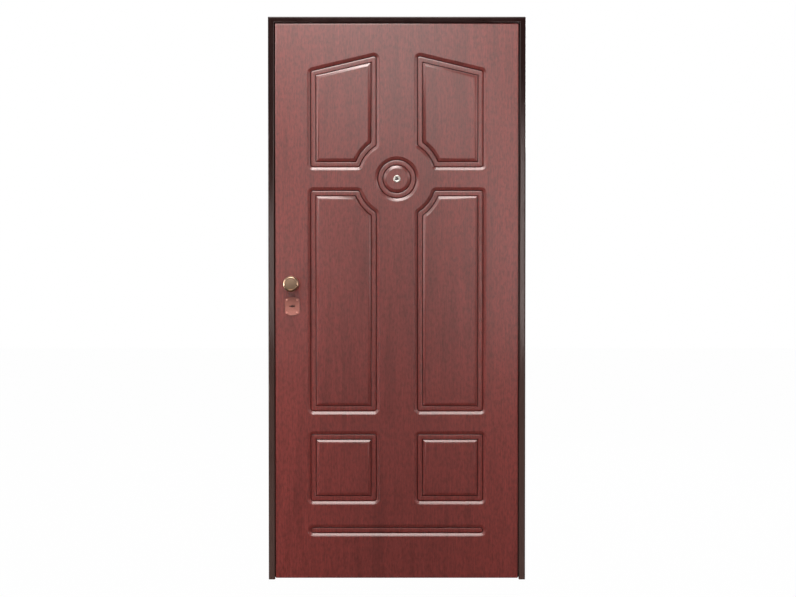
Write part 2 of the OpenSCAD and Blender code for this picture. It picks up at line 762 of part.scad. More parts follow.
module knob() {
    back = knob_rose_t;
    flare = knob_reach - 30;               // where the head grows out of the neck
    widest = knob_reach - 13;
    front = knob_reach - 2;
    bore = stud_r + play;
    color(bronze) turned_on_knob(concat(
        [[bore, back], [knob_neck_r + 2, back], [knob_neck_r, back + 4], [knob_neck_r, flare]],
        [for (a = [0:15:90]) [knob_neck_r + (knob_r - knob_neck_r) * sin(a), widest - (widest - flare) * cos(a)]],
        [for (a = [15:15:75])
            [knob_disc_r + 1.5 + (knob_r - knob_disc_r - 1.5) * cos(a), widest + (knob_reach - widest) * sin(a)]],
        [[knob_disc_r + 1.5, knob_reach], [knob_disc_r, front], [0, front + 0.6],
         [0, back + 20], [bore, back + 20]]));
}

module knob_rose() {
    e = 2;
    color(bronze) turned_on_knob(concat(
        [[stud_r + play, 0], [knob_rose_r, 0]],
        arc([knob_rose_r - e, knob_rose_t - e], e, 0, 90, 4),
        [[stud_r + play, knob_rose_t]]));
}

module knob_stud() {
    color(steel) rod_y(stud_r, panel_front - knob_rose_t - 19, case_y0 - 6, handle_x, handle_z);
}

module knob_nut() {
    y0 = leaf_front + leaf_sheet;
    color(steel) difference() {
        translate([handle_x, y0, handle_z]) rotate([-90, 0, 0]) cylinder(r = 2 * stud_r, h = 1.6 * stud_r, $fn = 6);
        rod_y(stud_r + play, y0 - over, y0 + 2 * stud_r, handle_x, handle_z);
    }
}

// The plate around the key: upright sides, arched top and bottom
module defender_outline(inset) {
    w = defender_w / 2 - inset;
    side = defender_h / 2 - defender_arch - inset / 2;
    arch = defender_arch - inset / 2;
    r = (w * w + arch * arch) / (2 * arch);
    a = asin(w / r);
    polygon(concat(
        arc([0, side + arch - r], r, 90 - a, 90 + a, 10),
        arc([0, -(side + arch - r)], r, 270 - a, 270 + a, 10)));
}

module defender_screw_holes(y0, y1) {
    for (x = [-1, 1]) for (z = [-1, 1])
        rod_y(screw_r + play, y0, y1, handle_x + x * defender_screw_x / 2, key_z + z * defender_screw_z / 2);
}

module defender_plate() {
    step = 1.5;
    color(copper) difference() {
        translate([handle_x, panel_front, key_z]) rotate([90, 0, 0]) {
            linear_extrude(defender_t - step) defender_outline(0);
            linear_extrude(defender_t) defender_outline(step);
        }
        rod_y(keyway_r + 2, panel_front - defender_t - over, panel_front - defender_t + 0.8, handle_x, key_z);
        keyhole(panel_front - defender_t - over, panel_front + over);
        defender_screw_holes(panel_front - defender_t - over, panel_front + over);
    }
}

module defender_screws() {
    y0 = panel_front - defender_t;
    color(copper) for (x = [-1, 1]) for (z = [-1, 1])
        translate([handle_x + x * defender_screw_x / 2, y0, key_z + z * defender_screw_z / 2]) {
            rotate([90, 0, 0]) rotate_extrude() polygon(concat(
                [[0, 0]], [for (a = [0:15:90]) [2 * screw_r * cos(a), screw_r * sin(a)]]));
            rod_y(screw_r, 0, defender_t + 6 * screw_r, 0, 0);
        }
}

module inner_key_plate() {
    t = 3;
    color(bronze) difference() {
        translate([handle_x, inner_face, key_z]) rotate([-90, 0, 0]) linear_extrude(t) defender_outline(8);
        keyhole(inner_face - over, inner_face + t + over);
        for (s = [-1, 1])
            rod_y(screw_r + play, inner_face - over, inner_face + t + over, handle_x, key_z + s * defender_screw_z / 2);
    }
}

module inner_key_screws() {
    t = 3;
    color(bronze) for (s = [-1, 1]) {
        rod_y(1.8 * screw_r, inner_face + t, inner_face + t + 1, handle_x, key_z + s * defender_screw_z / 2);
        rod_y(screw_r, leaf_back + 0.5, inner_face + t, handle_x, key_z + s * defender_screw_z / 2);
    }
}

// Turns a [radius, distance into the door] outline into a solid on the viewer's axis
module turned_on_viewer(outline) {
    translate([0, panel_front, roundel_z]) rotate([-90, 0, 0]) rotate_extrude() polygon(outline);
}

module viewer_barrel() {
    out = 3;
    lens_r = viewer_barrel_r - 0.4;
    bore = viewer_barrel_r - 1.5;
    color(nickel) turned_on_viewer(concat(
        [[bore, 4], [lens_r, 4], [lens_r, -out + 0.6], [lens_r + 0.6, -out]],
        arc([viewer_r - 2, 2 - out], 2, 270, 360, 4),
        [[viewer_r, 0], [viewer_barrel_r, 0], [viewer_barrel_r, viewer_len], [bore, viewer_len]]));
}

module viewer_lens() {
    r = viewer_barrel_r - 0.4 - play / 2;
    color(glass) turned_on_viewer(concat(
        [[0, 4], [r, 4]], [for (a = [0:15:90]) [r * cos(a), -0.6 - 2 * sin(a)]]));
}

module viewer_eyepiece() {
    tube = viewer_barrel_r - 1.6;
    depth = inner_face - panel_front;
    color(nickel) turned_on_viewer([
        [tube - 1.4, viewer_len - viewer_overlap], [tube, viewer_len - viewer_overlap], [tube, depth], [viewer_r - 2, depth],
        [viewer_r - 2, depth + 2], [viewer_r - 3, depth + 3], [tube - 1.4, depth + 3]]);
}

// Turns a [radius, distance from the inner panel] outline into a solid on the lever's axis
module turned_on_lever(outline) {
    translate([handle_x, inner_face, handle_z]) rotate([-90, 0, 0]) rotate_extrude() polygon(outline);
}

module lever_rose() {
    e = 2;
    color(bronze) turned_on_lever(concat(
        [[lever_r + play, 0], [lever_rose_r, 0]],
        arc([lever_rose_r - e, lever_rose_t - e], e, 0, 90, 4),
        [[lever_r + play, lever_rose_t]]));
}

module lever_handle() {
    y_bar = inner_face + lever_reach - lever_r;
    socket = spindle_w / 2 + play / 2;
    color(bronze) difference() {
        union() {
            rod_y(lever_r, inner_face + 0.3, y_bar, handle_x, handle_z);
            translate([handle_x, y_bar, handle_z]) sphere(r = lever_r);
            rod_x(lever_r, handle_x, handle_x + lever_len - lever_r, y_bar, handle_z);
            translate([handle_x + lever_len - lever_r, y_bar, handle_z]) sphere(r = lever_r);
        }
        span([handle_x - socket, inner_face - over, handle_z - socket],
             [handle_x + socket, inner_face + 20, handle_z + socket]);
    }
}

module lever_spindle() {
    w = spindle_w / 2;
    color(steel) span([handle_x - w, case_y0 + 2, handle_z - w], [handle_x + w, inner_face + 20, handle_z + w]);
}

// The hub that the spindle turns, with the arm that draws the latch
module latch_follower() {
    w = spindle_w / 2 + play / 2;
    color(steel) difference() {
        union() {
            rod_y(hub_r, case_y0, case_y1, handle_x, handle_z);
            span([handle_x - 3, lock_y - 4, handle_z], [handle_x + 3, lock_y + 4, handle_z + hub_r + 15]);
        }
        span([handle_x - w, case_y0 - over, handle_z - w], [handle_x + w, case_y1 + over, handle_z + w]);
    }
}

// The sprung latch, drawn back; its nose slopes towards the outside
module latch_bolt() {
    back = handle_x - hub_r - 6;
    color(steel) difference() {
        union() {
            span([bolt_tip, lock_y - latch_t / 2, handle_z - latch_h / 2],
                 [bolt_tip + 34, lock_y + latch_t / 2, handle_z + latch_h / 2]);
            span([bolt_tip + 34, lock_y - 3, handle_z - 6], [back, lock_y + 3, handle_z + 6]);
        }
        translate([bolt_tip, lock_y + latch_t / 2 - 2, handle_z - latch_h / 2 - over]) rotate([0, 0, 45])
            translate([-2 * latch_t, -4 * latch_t, 0]) cube([2 * latch_t, 4 * latch_t, latch_h + 2 * over]);
    }
}

module dead_bolts() {
    color(steel) for (z = bolt_zs) rod_x(bolt_r, bolt_tip, carriage_x, lock_y, z);
}

module bolt_carriage() {
    color(steel) span([carriage_x, lock_y - bolt_r + 1, bolt_zs[0] - bolt_r],
                      [carriage_x + carriage_t, lock_y + bolt_r - 1, bolt_zs[bolt_count - 1] + bolt_r]);
}

module upper_rod() {
    z0 = lock_z + case_h / 2 - 10;
    color(steel) translate([rod_x, lock_y, z0]) cylinder(r = rod_r, h = leaf_top - 0.5 - z0);
}

module rod_guide() {
    color(steel) difference() {
        span([lock_edge + leaf_sheet, lock_y - 2 * rod_r, rod_guide_z],
             [rod_x + 2 * rod_r, lock_y + 2 * rod_r, rod_guide_z + rod_guide_h]);
        translate([rod_x, lock_y, rod_guide_z - over]) cylinder(r = rod_r + play, h = rod_guide_h + 2 * over);
    }
}

lock_jamb();
hinge_jamb();
frame_head();
corner_cleats();
lock_side_seal();
hinge_side_seal();
head_seal();
keep_plate();
keep_screws();
frame_knuckle(hinge_zs[0]);  // lower_hinge_frame_knuckle
frame_knuckle(hinge_zs[1]);  // middle_hinge_frame_knuckle
frame_knuckle(hinge_zs[2]);  // upper_hinge_frame_knuckle
hinge_pin(hinge_zs[0]);  // lower_hinge_pin
hinge_pin(hinge_zs[1]);  // middle_hinge_pin
hinge_pin(hinge_zs[2]);  // upper_hinge_pin
hinge_washer(hinge_zs[0]);  // lower_hinge_washer
hinge_washer(hinge_zs[1]);  // middle_hinge_washer
hinge_washer(hinge_zs[2]);  // upper_hinge_washer
leaf_knuckle(hinge_zs[0]);  // lower_hinge_leaf_knuckle
leaf_knuckle(hinge_zs[1]);  // middle_hinge_leaf_knuckle
leaf_knuckle(hinge_zs[2]);  // upper_hinge_leaf_knuckle
hinge_screws();
fixed_hinge_bolts();
leaf_shell();
leaf_cover();
stiffeners();
insulation();
outer_panel();
inner_panel();
lock_case();
lock_cover();
lock_faceplate();
faceplate_screws();
knob();
knob_rose();
knob_stud();
knob_nut();
defender_plate();
defender_screws();
inner_key_plate();
inner_key_screws();
viewer_barrel();
viewer_lens();
viewer_eyepiece();
lever_rose();
lever_handle();
lever_spindle();
latch_follower();
latch_bolt();
dead_bolts();
bolt_carriage();
upper_rod();
rod_guide();
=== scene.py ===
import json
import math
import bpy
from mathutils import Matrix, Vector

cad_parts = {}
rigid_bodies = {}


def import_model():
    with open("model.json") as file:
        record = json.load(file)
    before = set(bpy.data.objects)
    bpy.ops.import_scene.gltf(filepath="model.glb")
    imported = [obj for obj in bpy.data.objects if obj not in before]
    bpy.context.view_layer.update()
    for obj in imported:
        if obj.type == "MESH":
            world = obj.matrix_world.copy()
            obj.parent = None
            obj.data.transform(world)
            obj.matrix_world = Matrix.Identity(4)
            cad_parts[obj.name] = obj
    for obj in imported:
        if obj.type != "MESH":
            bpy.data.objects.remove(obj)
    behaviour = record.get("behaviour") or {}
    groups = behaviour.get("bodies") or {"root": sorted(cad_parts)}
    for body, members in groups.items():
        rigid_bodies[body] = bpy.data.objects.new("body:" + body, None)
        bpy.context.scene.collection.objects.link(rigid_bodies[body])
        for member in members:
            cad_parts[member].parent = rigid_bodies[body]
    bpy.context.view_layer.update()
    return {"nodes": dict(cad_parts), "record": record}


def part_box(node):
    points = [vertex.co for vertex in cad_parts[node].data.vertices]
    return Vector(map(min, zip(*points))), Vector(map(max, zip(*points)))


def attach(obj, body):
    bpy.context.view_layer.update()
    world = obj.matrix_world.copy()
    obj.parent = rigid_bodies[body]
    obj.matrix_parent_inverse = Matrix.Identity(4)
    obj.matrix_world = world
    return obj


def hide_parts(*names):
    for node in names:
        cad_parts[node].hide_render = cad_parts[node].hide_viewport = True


bl_info = {
    "name": "Panelled Front Door",
    "version": (1, 0, 0),
    "blender": (4, 5, 0),
    "location": "3D View > Sidebar > Door",
    "description": "Dresses the packed front door: moulded panel, handles, finishes and studio",
    "category": "Object",
}

import bmesh
import bpy
from mathutils import Vector

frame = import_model()

FULL_TURN = 2 * math.pi
FACING_OUT = (math.pi / 2, 0, 0)
THROUGH_DOOR = (0, 1, 0)
QUARTER = [math.radians(9 * i) for i in range(11)]
QUARTER_BACK = [math.radians(90 - 9 * i) for i in range(11)]
EVEN = (1, 1, 1)
WHITE, BLACK = (1, 1, 1), (0, 0, 0)

# Drawing: the small plane that a chain starts from, and how near points are joined or taken for the same
SEED_SIZE = 0.001
CHAIN_WELD, LATHE_WELD, BOARD_WELD = 0.00002, 0.000004, 0.000002
SAME_PLACE = 1e-5
# Edges turned by more degrees than these stay sharp
PANEL_SMOOTH, TURNED_SMOOTH, PLATE_SMOOTH, SCREW_SMOOTH = 32, 40, 30, 35


class DoorSizes(bpy.types.PropertyGroup):
    """Sizes of the dressed pieces, in metres"""

    groove_half: bpy.props.FloatProperty(
        name="Groove half width",
        description="Half the width of the routed groove",
        default=0.0225, unit="LENGTH",
    )
    groove_depth: bpy.props.FloatProperty(
        name="Groove depth", description="Deepest point of the routed groove", default=0.0065, unit="LENGTH"
    )
    bead_half: bpy.props.FloatProperty(
        name="Bead half width",
        description="Half the width of the bead in the groove",
        default=0.0080, unit="LENGTH",
    )
    bead_height: bpy.props.FloatProperty(
        name="Bead height",
        description="Height of the bead above the groove's bottom",
        default=0.0007, unit="LENGTH",
    )
    notch_width: bpy.props.FloatProperty(
        name="Notch width", description="Width of the notch beside the bead", default=0.0032, unit="LENGTH"
    )
    notch_depth: bpy.props.FloatProperty(
        name="Notch depth", description="Depth of the notch below the bead's edge", default=0.003, unit="LENGTH"
    )
    shoulder_depth: bpy.props.FloatProperty(
        name="Slope depth", description="Depth where the rounded slope starts", default=0.0052, unit="LENGTH"
    )
    lip_width: bpy.props.FloatProperty(
        name="Lip width", description="Width of the lip at the groove's edge", default=0.0014, unit="LENGTH"
    )
    lip_depth: bpy.props.FloatProperty(
        name="Lip depth", description="Depth where the lip starts", default=0.0006, unit="LENGTH"
    )
    field_inner: bpy.props.FloatProperty(
        name="Field inner edge",
        description="Distance of the fields' inner edges from the middle",
        default=0.0845, unit="LENGTH",
    )
    field_outer: bpy.props.FloatProperty(
        name="Field outer edge",
        description="Distance of the fields' outer edges from the middle",
        default=0.3045, unit="LENGTH",
    )
    bar_height: bpy.props.FloatProperty(
        name="Bar height", description="Height of the bar below the fields", default=0.179, unit="LENGTH"
    )
    square_bottom: bpy.props.FloatProperty(
        name="Square bottom", description="Bottom of the square fields", default=0.296, unit="LENGTH"
    )
    square_top: bpy.props.FloatProperty(
        name="Square top", description="Top of the square fields", default=0.521, unit="LENGTH"
    )
    tall_bottom: bpy.props.FloatProperty(
        name="Tall bottom", description="Bottom of the tall fields", default=0.625, unit="LENGTH"
    )
    tall_top: bpy.props.FloatProperty(
        name="Tall top", description="Top of the tall fields", default=1.410, unit="LENGTH"
    )
    upper_bottom: bpy.props.FloatProperty(
        name="Upper bottom", description="Bottom of the upper fields", default=1.515, unit="LENGTH"
    )
    upper_outer_top: bpy.props.FloatProperty(
        name="Upper outer top",
        description="Top of the upper fields at their outer corners",
        default=1.846, unit="LENGTH",
    )
    upper_inner_top: bpy.props.FloatProperty(
        name="Upper inner top",
        description="Top of the upper fields at their inner corners",
        default=1.898, unit="LENGTH",
    )
    roundel_height: bpy.props.FloatProperty(
        name="Roundel height", description="Height of the roundel and the viewer", default=1.462, unit="LENGTH"
    )
    roundel_radius: bpy.props.FloatProperty(
        name="Roundel radius", description="Radius of the roundel's groove", default=0.060, unit="LENGTH"
    )
    hollow_radius: bpy.props.FloatProperty(
        name="Hollow radius",
        description="Radius of the hollow corners around the roundel",
        default=0.153, unit="LENGTH",
    )
    handle_x: bpy.props.FloatProperty(
        name="Handle place",
        description="Place of the knob and the key across the door",
        default=-0.3815, unit="LENGTH",
    )
    handle_height: bpy.props.FloatProperty(
        name="Handle height", description="Height of the knob", default=1.080, unit="LENGTH"
    )
    key_height: bpy.props.FloatProperty(
        name="Key height", description="Height of the key", default=0.999, unit="LENGTH"
    )
    knob_radius: bpy.props.FloatProperty(
        name="Knob radius", description="Radius of the knob's head", default=0.029, unit="LENGTH"
    )


class DoorColours(bpy.types.PropertyGroup):
    """Colours of the finishes"""

    wood_light: bpy.props.FloatVectorProperty(
        name="Wood light",
        description="Lightest fibres of the wood",
        subtype="COLOR", default=(0.309, 0.0405, 0.033),
    )
    wood_dark: bpy.props.FloatVectorProperty(
        name="Wood dark",
        description="Darkest fibres of the wood",
        subtype="COLOR", default=(0.187, 0.0235, 0.0189),
    )
    # Painted sheen: the paler tone painted lower down the jambs stands for reflected light
    frame_sheen: bpy.props.FloatVectorProperty(
        name="Frame dust",
        description="Paler tone of the paint down the jambs",
        subtype="COLOR", default=(0.085, 0.048, 0.041),
    )
    frame_brown: bpy.props.FloatVectorProperty(
        name="Frame brown",
        description="Powder coat of the frame and the leaf",
        subtype="COLOR", default=(0.018, 0.0062, 0.0054),
    )
    bronze: bpy.props.FloatVectorProperty(
        name="Bronze",
        description="Aged bronze of the knob and the lever",
        subtype="COLOR", default=(0.40, 0.26, 0.173),
    )
    copper: bpy.props.FloatVectorProperty(
        name="Copper",
        description="Copper bronze of the key plate",
        subtype="COLOR", default=(0.44, 0.16, 0.123),
    )
    # Painted highlight: a brighter copy of the plate's copper that stands for the bright spots on the screws'
    # heads
    screw_highlight_copper: bpy.props.FloatVectorProperty(
        name="Screw copper",
        description="Brighter copper of the key plate's screws",
        subtype="COLOR", default=(0.80, 0.36, 0.29),
    )
    nickel: bpy.props.FloatVectorProperty(
        name="Nickel",
        description="Worn nickel of the viewer's bezel",
        subtype="COLOR", default=(0.66, 0.62, 0.56),
    )
    steel: bpy.props.FloatVectorProperty(
        name="Steel",
        description="Plated steel of the bolts, the lock and the screws",
        subtype="COLOR", default=(0.56, 0.56, 0.57),
    )
    brass: bpy.props.FloatVectorProperty(
        name="Brass", description="Brass of the hinges' washers", subtype="COLOR", default=(0.62, 0.42, 0.16)
    )
    # Painted shade: the colour that darkens the bottom of the grooves' narrow lines, where shade falls
    line_painted_shade: bpy.props.FloatVectorProperty(
        name="Line stain",
        description="Darkening in the grooves' narrow lines",
        subtype="COLOR", default=(0.16, 0.13, 0.12),
    )


def sizes():
    return bpy.context.scene.door_sizes


def colours():
    return bpy.context.scene.door_colours


def clear_selection():
    """Leaves the mesh being edited, if any, and selects nothing"""
    if bpy.context.object and bpy.context.object.mode != "OBJECT":
        bpy.ops.object.mode_set(mode="OBJECT")
    bpy.ops.object.select_all(action="DESELECT")


def make_active(piece):
    """Selects the piece alone and makes it the active object"""
    clear_selection()
    bpy.context.view_layer.objects.active = piece
    piece.select_set(True)


def pick(kind, test):
    """Selects the edges or faces of the mesh being edited that pass the test, and counts them"""
    bpy.ops.mesh.select_mode(type=kind)
    bpy.ops.mesh.select_all(action="DESELECT")
    mesh = bpy.context.edit_object.data
    bm = bmesh.from_edit_mesh(mesh)
    found = [item for item in (bm.edges if kind == "EDGE" else bm.faces) if test(item)]
    for item in found:
        item.select_set(True)
    bmesh.update_edit_mesh(mesh)
    return len(found)


def open_edge(edge):
    return len(edge.link_faces) == 1


def chosen_faces():
    bm = bmesh.from_edit_mesh(bpy.context.edit_object.data)
    return sum(1 for face in bm.faces if face.select)


def weld(threshold):
    """Joins the points of the mesh being edited that lie within the threshold"""
    bpy.ops.mesh.select_all(action="SELECT")
    bpy.ops.mesh.remove_doubles(threshold=threshold)


def face_outward():
    """Turns every face of the mesh being edited outward"""
    bpy.ops.mesh.select_all(action="SELECT")
    bpy.ops.mesh.normals_make_consistent(inside=False)


def finish_piece(name, body, slot, angle, *nodes):
    """Names the piece, puts its place in its mesh, gives it its finish and its body"""
    if bpy.context.object.mode != "OBJECT":
        bpy.ops.object.mode_set(mode="OBJECT")
    piece = bpy.context.object
    piece.name = name
    piece.data.name = name
    bpy.ops.object.transform_apply(location=True, rotation=True, scale=True)
    bpy.ops.object.shade_smooth_by_angle(angle=math.radians(angle))
    piece.data.materials.clear()
    piece.data.materials.append(finish(slot))
    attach(piece, body)
    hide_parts(*nodes)
    return piece


def empty_mesh():
    """Adds an object without points and starts to edit it"""
    clear_selection()
    bpy.ops.mesh.primitive_plane_add(size=SEED_SIZE, rotation=FACING_OUT)
    bpy.ops.object.mode_set(mode="EDIT")
    bpy.ops.mesh.select_all(action="SELECT")
    bpy.ops.mesh.delete(type="VERT")


def start_chain(place):
    """Leaves one vertex at the place, selected, in the mesh being edited"""
    bpy.ops.mesh.select_mode(type="VERT")
    bpy.ops.mesh.select_all(action="DESELECT")
    bpy.ops.mesh.primitive_plane_add(size=SEED_SIZE, location=place, rotation=FACING_OUT)
    bpy.ops.mesh.merge(type="CENTER")


def extrude(step):
    """Runs a line on from the selected point, or draws out the selected faces or edges"""
    bpy.ops.mesh.extrude_region_move(TRANSFORM_OT_translate={"value": step})


def run_arc(centre, angle, steps):
    bpy.ops.mesh.spin(steps=steps, angle=angle, center=centre, axis=THROUGH_DOOR)


def close_chain():
    """Joins the chain's ends and fills it with one face"""
    bpy.ops.mesh.select_linked()
    bpy.ops.mesh.remove_doubles(threshold=CHAIN_WELD)
    bpy.ops.mesh.edge_face_add()


def lathe(axis_x, axis_z, profile, steps):
    """Draws [radius, depth] points as a chain and spins it about its own axis"""
    empty_mesh()
    radius, depth = profile[0]
    start_chain((axis_x + radius, depth, axis_z))
    for next_radius, next_depth in profile[1:]:
        extrude((next_radius - radius, next_depth - depth, 0))
        radius, depth = next_radius, next_depth
    bpy.ops.mesh.select_all(action="SELECT")
    run_arc((axis_x, 0, axis_z), FULL_TURN, steps)
    weld(LATHE_WELD)
    face_outward()
    bpy.ops.object.mode_set(mode="OBJECT")


def turned_piece(name, slot, axis_x, axis_z, profile, node, steps=72):
    """A piece turned on the lathe, which stands for the node"""
    lathe(axis_x, axis_z, profile, steps)
    finish_piece(name, "leaf", slot, TURNED_SMOOTH, node)


def round_run(centre, radius, start, end, steps):
    """Points of a rounded edge on a lathe profile, in degrees"""
    turns = [math.radians(start + (end - start) * i / steps) for i in range(steps + 1)]
    return [(centre[0] + radius * math.cos(a), centre[1] + radius * math.sin(a)) for a in turns]


def carve(piece, cutter):
    """Cuts the cutter's shape out of the piece and removes the cutter"""
    make_active(piece)
    cut = piece.modifiers.new("cut", "BOOLEAN")
    cut.operation = "DIFFERENCE"
    cut.solver = "EXACT"
    cut.object = cutter
    bpy.ops.object.modifier_apply(modifier="cut")
    bpy.data.objects.remove(cutter)


# The groove's profile: cuts of the bead and of the slope, how square the bead is, how far the slope's
# sine bends, and where the notch's deepest point and the lip's middle lie, as shares
BEAD_CUTS, BEAD_POWER = 7, 4
SLOPE_CUTS, SLOPE_BEND = 8, 0.8
NOTCH_SHARE = 0.45
LIP_SHARE, LIP_DEPTH_SHARE = 0.25, 0.2


def half_groove(s):
    """Points [distance from the groove's middle, height]: flat bead, deep notch, rounded slope and lip"""
    bead = [
        (s.bead_half * t / BEAD_CUTS, s.bead_height * (1 - (t / BEAD_CUTS) ** BEAD_POWER) - s.groove_depth)
        for t in range(BEAD_CUTS + 1)
    ]
    foot = s.bead_half + s.notch_width
    notch = [
        (s.bead_half + NOTCH_SHARE * s.notch_width, -s.groove_depth - s.notch_depth),
        (foot, -s.shoulder_depth),
    ]
    last = s.groove_half - s.lip_width
    rise = s.shoulder_depth - s.lip_depth
    slope = [
        (
            foot + (last - foot) * t / SLOPE_CUTS,
            rise * math.sin(SLOPE_BEND * t / SLOPE_CUTS) / math.sin(SLOPE_BEND) - s.shoulder_depth,
        )
        for t in range(1, SLOPE_CUTS + 1)
    ]
    lip = [(last + LIP_SHARE * s.lip_width, -LIP_DEPTH_SHARE * s.lip_depth), (s.groove_half, 0)]
    return bead + notch + slope + lip


def follow_profile(points):
    """Insets the selected faces along the groove's points"""
    for (u0, h0), (u1, h1) in zip(points, points[1:]):
        bpy.ops.mesh.inset(
            thickness=abs(u1 - u0), depth=h1 - h0,
            use_even_offset=True, use_boundary=True, use_individual=True,
        )


# Rounded corners of an outline, in radians: what counts as a turn back, the least turn that is rounded,
# the turn of one cut and the least number of cuts
TURN_BACK = 3.1
LEAST_ROUNDED = 0.2
CUT_TURN = math.radians(10)
LEAST_CUTS = 3


def outline_points(path, reach):
    """Outline of a field, reach outside its path: its outer corners are rounded about the path's corners.
    The path runs anticlockwise seen from outside, and every edge of the outline lies reach from it."""
    count = len(path)
    headings = [
        math.atan2(path[(i + 1) % count][1] - z, path[(i + 1) % count][0] - x)
        for i, (x, z) in enumerate(path)
    ]
    points = []
    for i, (x, z) in enumerate(path):
        turn = (headings[i] - headings[i - 1] + math.pi) % FULL_TURN - math.pi
        if abs(turn) > TURN_BACK:
            turn = math.pi
        cuts = max(LEAST_CUTS, round(turn / CUT_TURN)) if turn > LEAST_ROUNDED else 0
        part = turn / (cuts + 1)
        for k in range(cuts + 1):
            angle = headings[i - 1] - math.pi / 2 + part * (k + 0.5)
            out = reach / math.cos(part / 2)
            points.append((x + out * math.cos(angle), z + out * math.sin(angle)))
    return points


def draw_face(points, depth):
    """Draws the points as a closed chain in the mesh being edited and fills it with one face"""
    x, z = points[0]
    start_chain((x, depth, z))
    for next_x, next_z in points[1:] + points[:1]:
        extrude((next_x - x, 0, next_z - z))
        x, z = next_x, next_z
    close_chain()


HOLLOW_CUTS = 8
HOLLOW_END = 1.9


def hollow_points(s, start, end):
    """Points of a hollow corner about the roundel. Its end cuts are longer: the mitres shorten them."""
    first = math.atan2(start[1] - s.roundel_height, start[0])
    last = math.atan2(end[1] - s.roundel_height, end[0])
    sweep = (last - first + math.pi) % FULL_TURN - math.pi
    shares = [0, HOLLOW_END] + [1] * (HOLLOW_CUTS - 2) + [HOLLOW_END]
    angles = [first + sweep * sum(shares[: i + 1]) / sum(shares) for i in range(HOLLOW_CUTS + 1)]
    r = s.hollow_radius
    return [(r * math.cos(a), s.roundel_height + r * math.sin(a)) for a in angles]


def field_paths(s):
    """Paths [x, z] of the fields on the left: the square one, the tall one and the upper one"""

    def on_hollow(offset):
        return math.sqrt(s.hollow_radius**2 - offset**2)

    inner, outer = s.field_inner, s.field_outer
    drop = on_hollow(inner)
    square = [(-outer, s.square_bottom), (-inner, s.square_bottom)]
    square += [(-inner, s.square_top), (-outer, s.square_top)]
    tall_end = (-on_hollow(s.tall_top - s.roundel_height), s.tall_top)
    tall = [(-outer, s.tall_bottom), (-inner, s.tall_bottom)]
    tall += hollow_points(s, (-inner, s.roundel_height - drop), tall_end)
    tall += [(-outer, s.tall_top)]
    upper_start = (-on_hollow(s.upper_bottom - s.roundel_height), s.upper_bottom)
    upper = [(-outer, s.upper_bottom)]
    upper += hollow_points(s, upper_start, (-inner, s.roundel_height + drop))
    upper += [(-inner, s.upper_inner_top), (-outer, s.upper_outer_top)]
    return square, tall, upper


def on_rim(edge, low, high):
    """Whether the edge lies along one of the board's four sides"""
    for axis in (0, 2):
        for limit in (low[axis], high[axis]):
            if all(abs(v.co[axis] - limit) < SAME_PLACE for v in edge.verts):
                return True
    return False


def pick_outlines(count, what, test):
    """Selects the drawn faces that pass the test, and raises an error unless there are count of them"""
    found = pick("FACE", lambda face: len(face.verts) > PLAIN_VERTS and test(face))
    if found != count:
        raise RuntimeError("the panel has %d of %s, not %d" % (found, what, count))


# The board: its rim inside the edge, the flat around each groove, the rounded edge, and the key's hole
BOARD_RIM = 0.005
GROOVE_FLAT = 0.0006
EDGE_ROUND, EDGE_CUTS = 0.002, 4
KEY_BORE, KEY_BORE_CUTS, KEY_BORE_DEPTH = 0.012, 32, 0.8
ROUNDEL_CUTS = 96
FIELDS_AND_ROUNDEL = 7
# How drawn faces are told apart: more points than filled ones, a least area, and a distance in height
PLAIN_VERTS = 12
LEAST_FIELD = 0.003
CLEAR_HEIGHT = 0.05
# What is left at a groove's middle, so that its two sides don't meet before they are joined
MIDDLE_GAP, BAR_GAP = 0.00006, 0.0003
MIDDLE_WELD = 0.0003


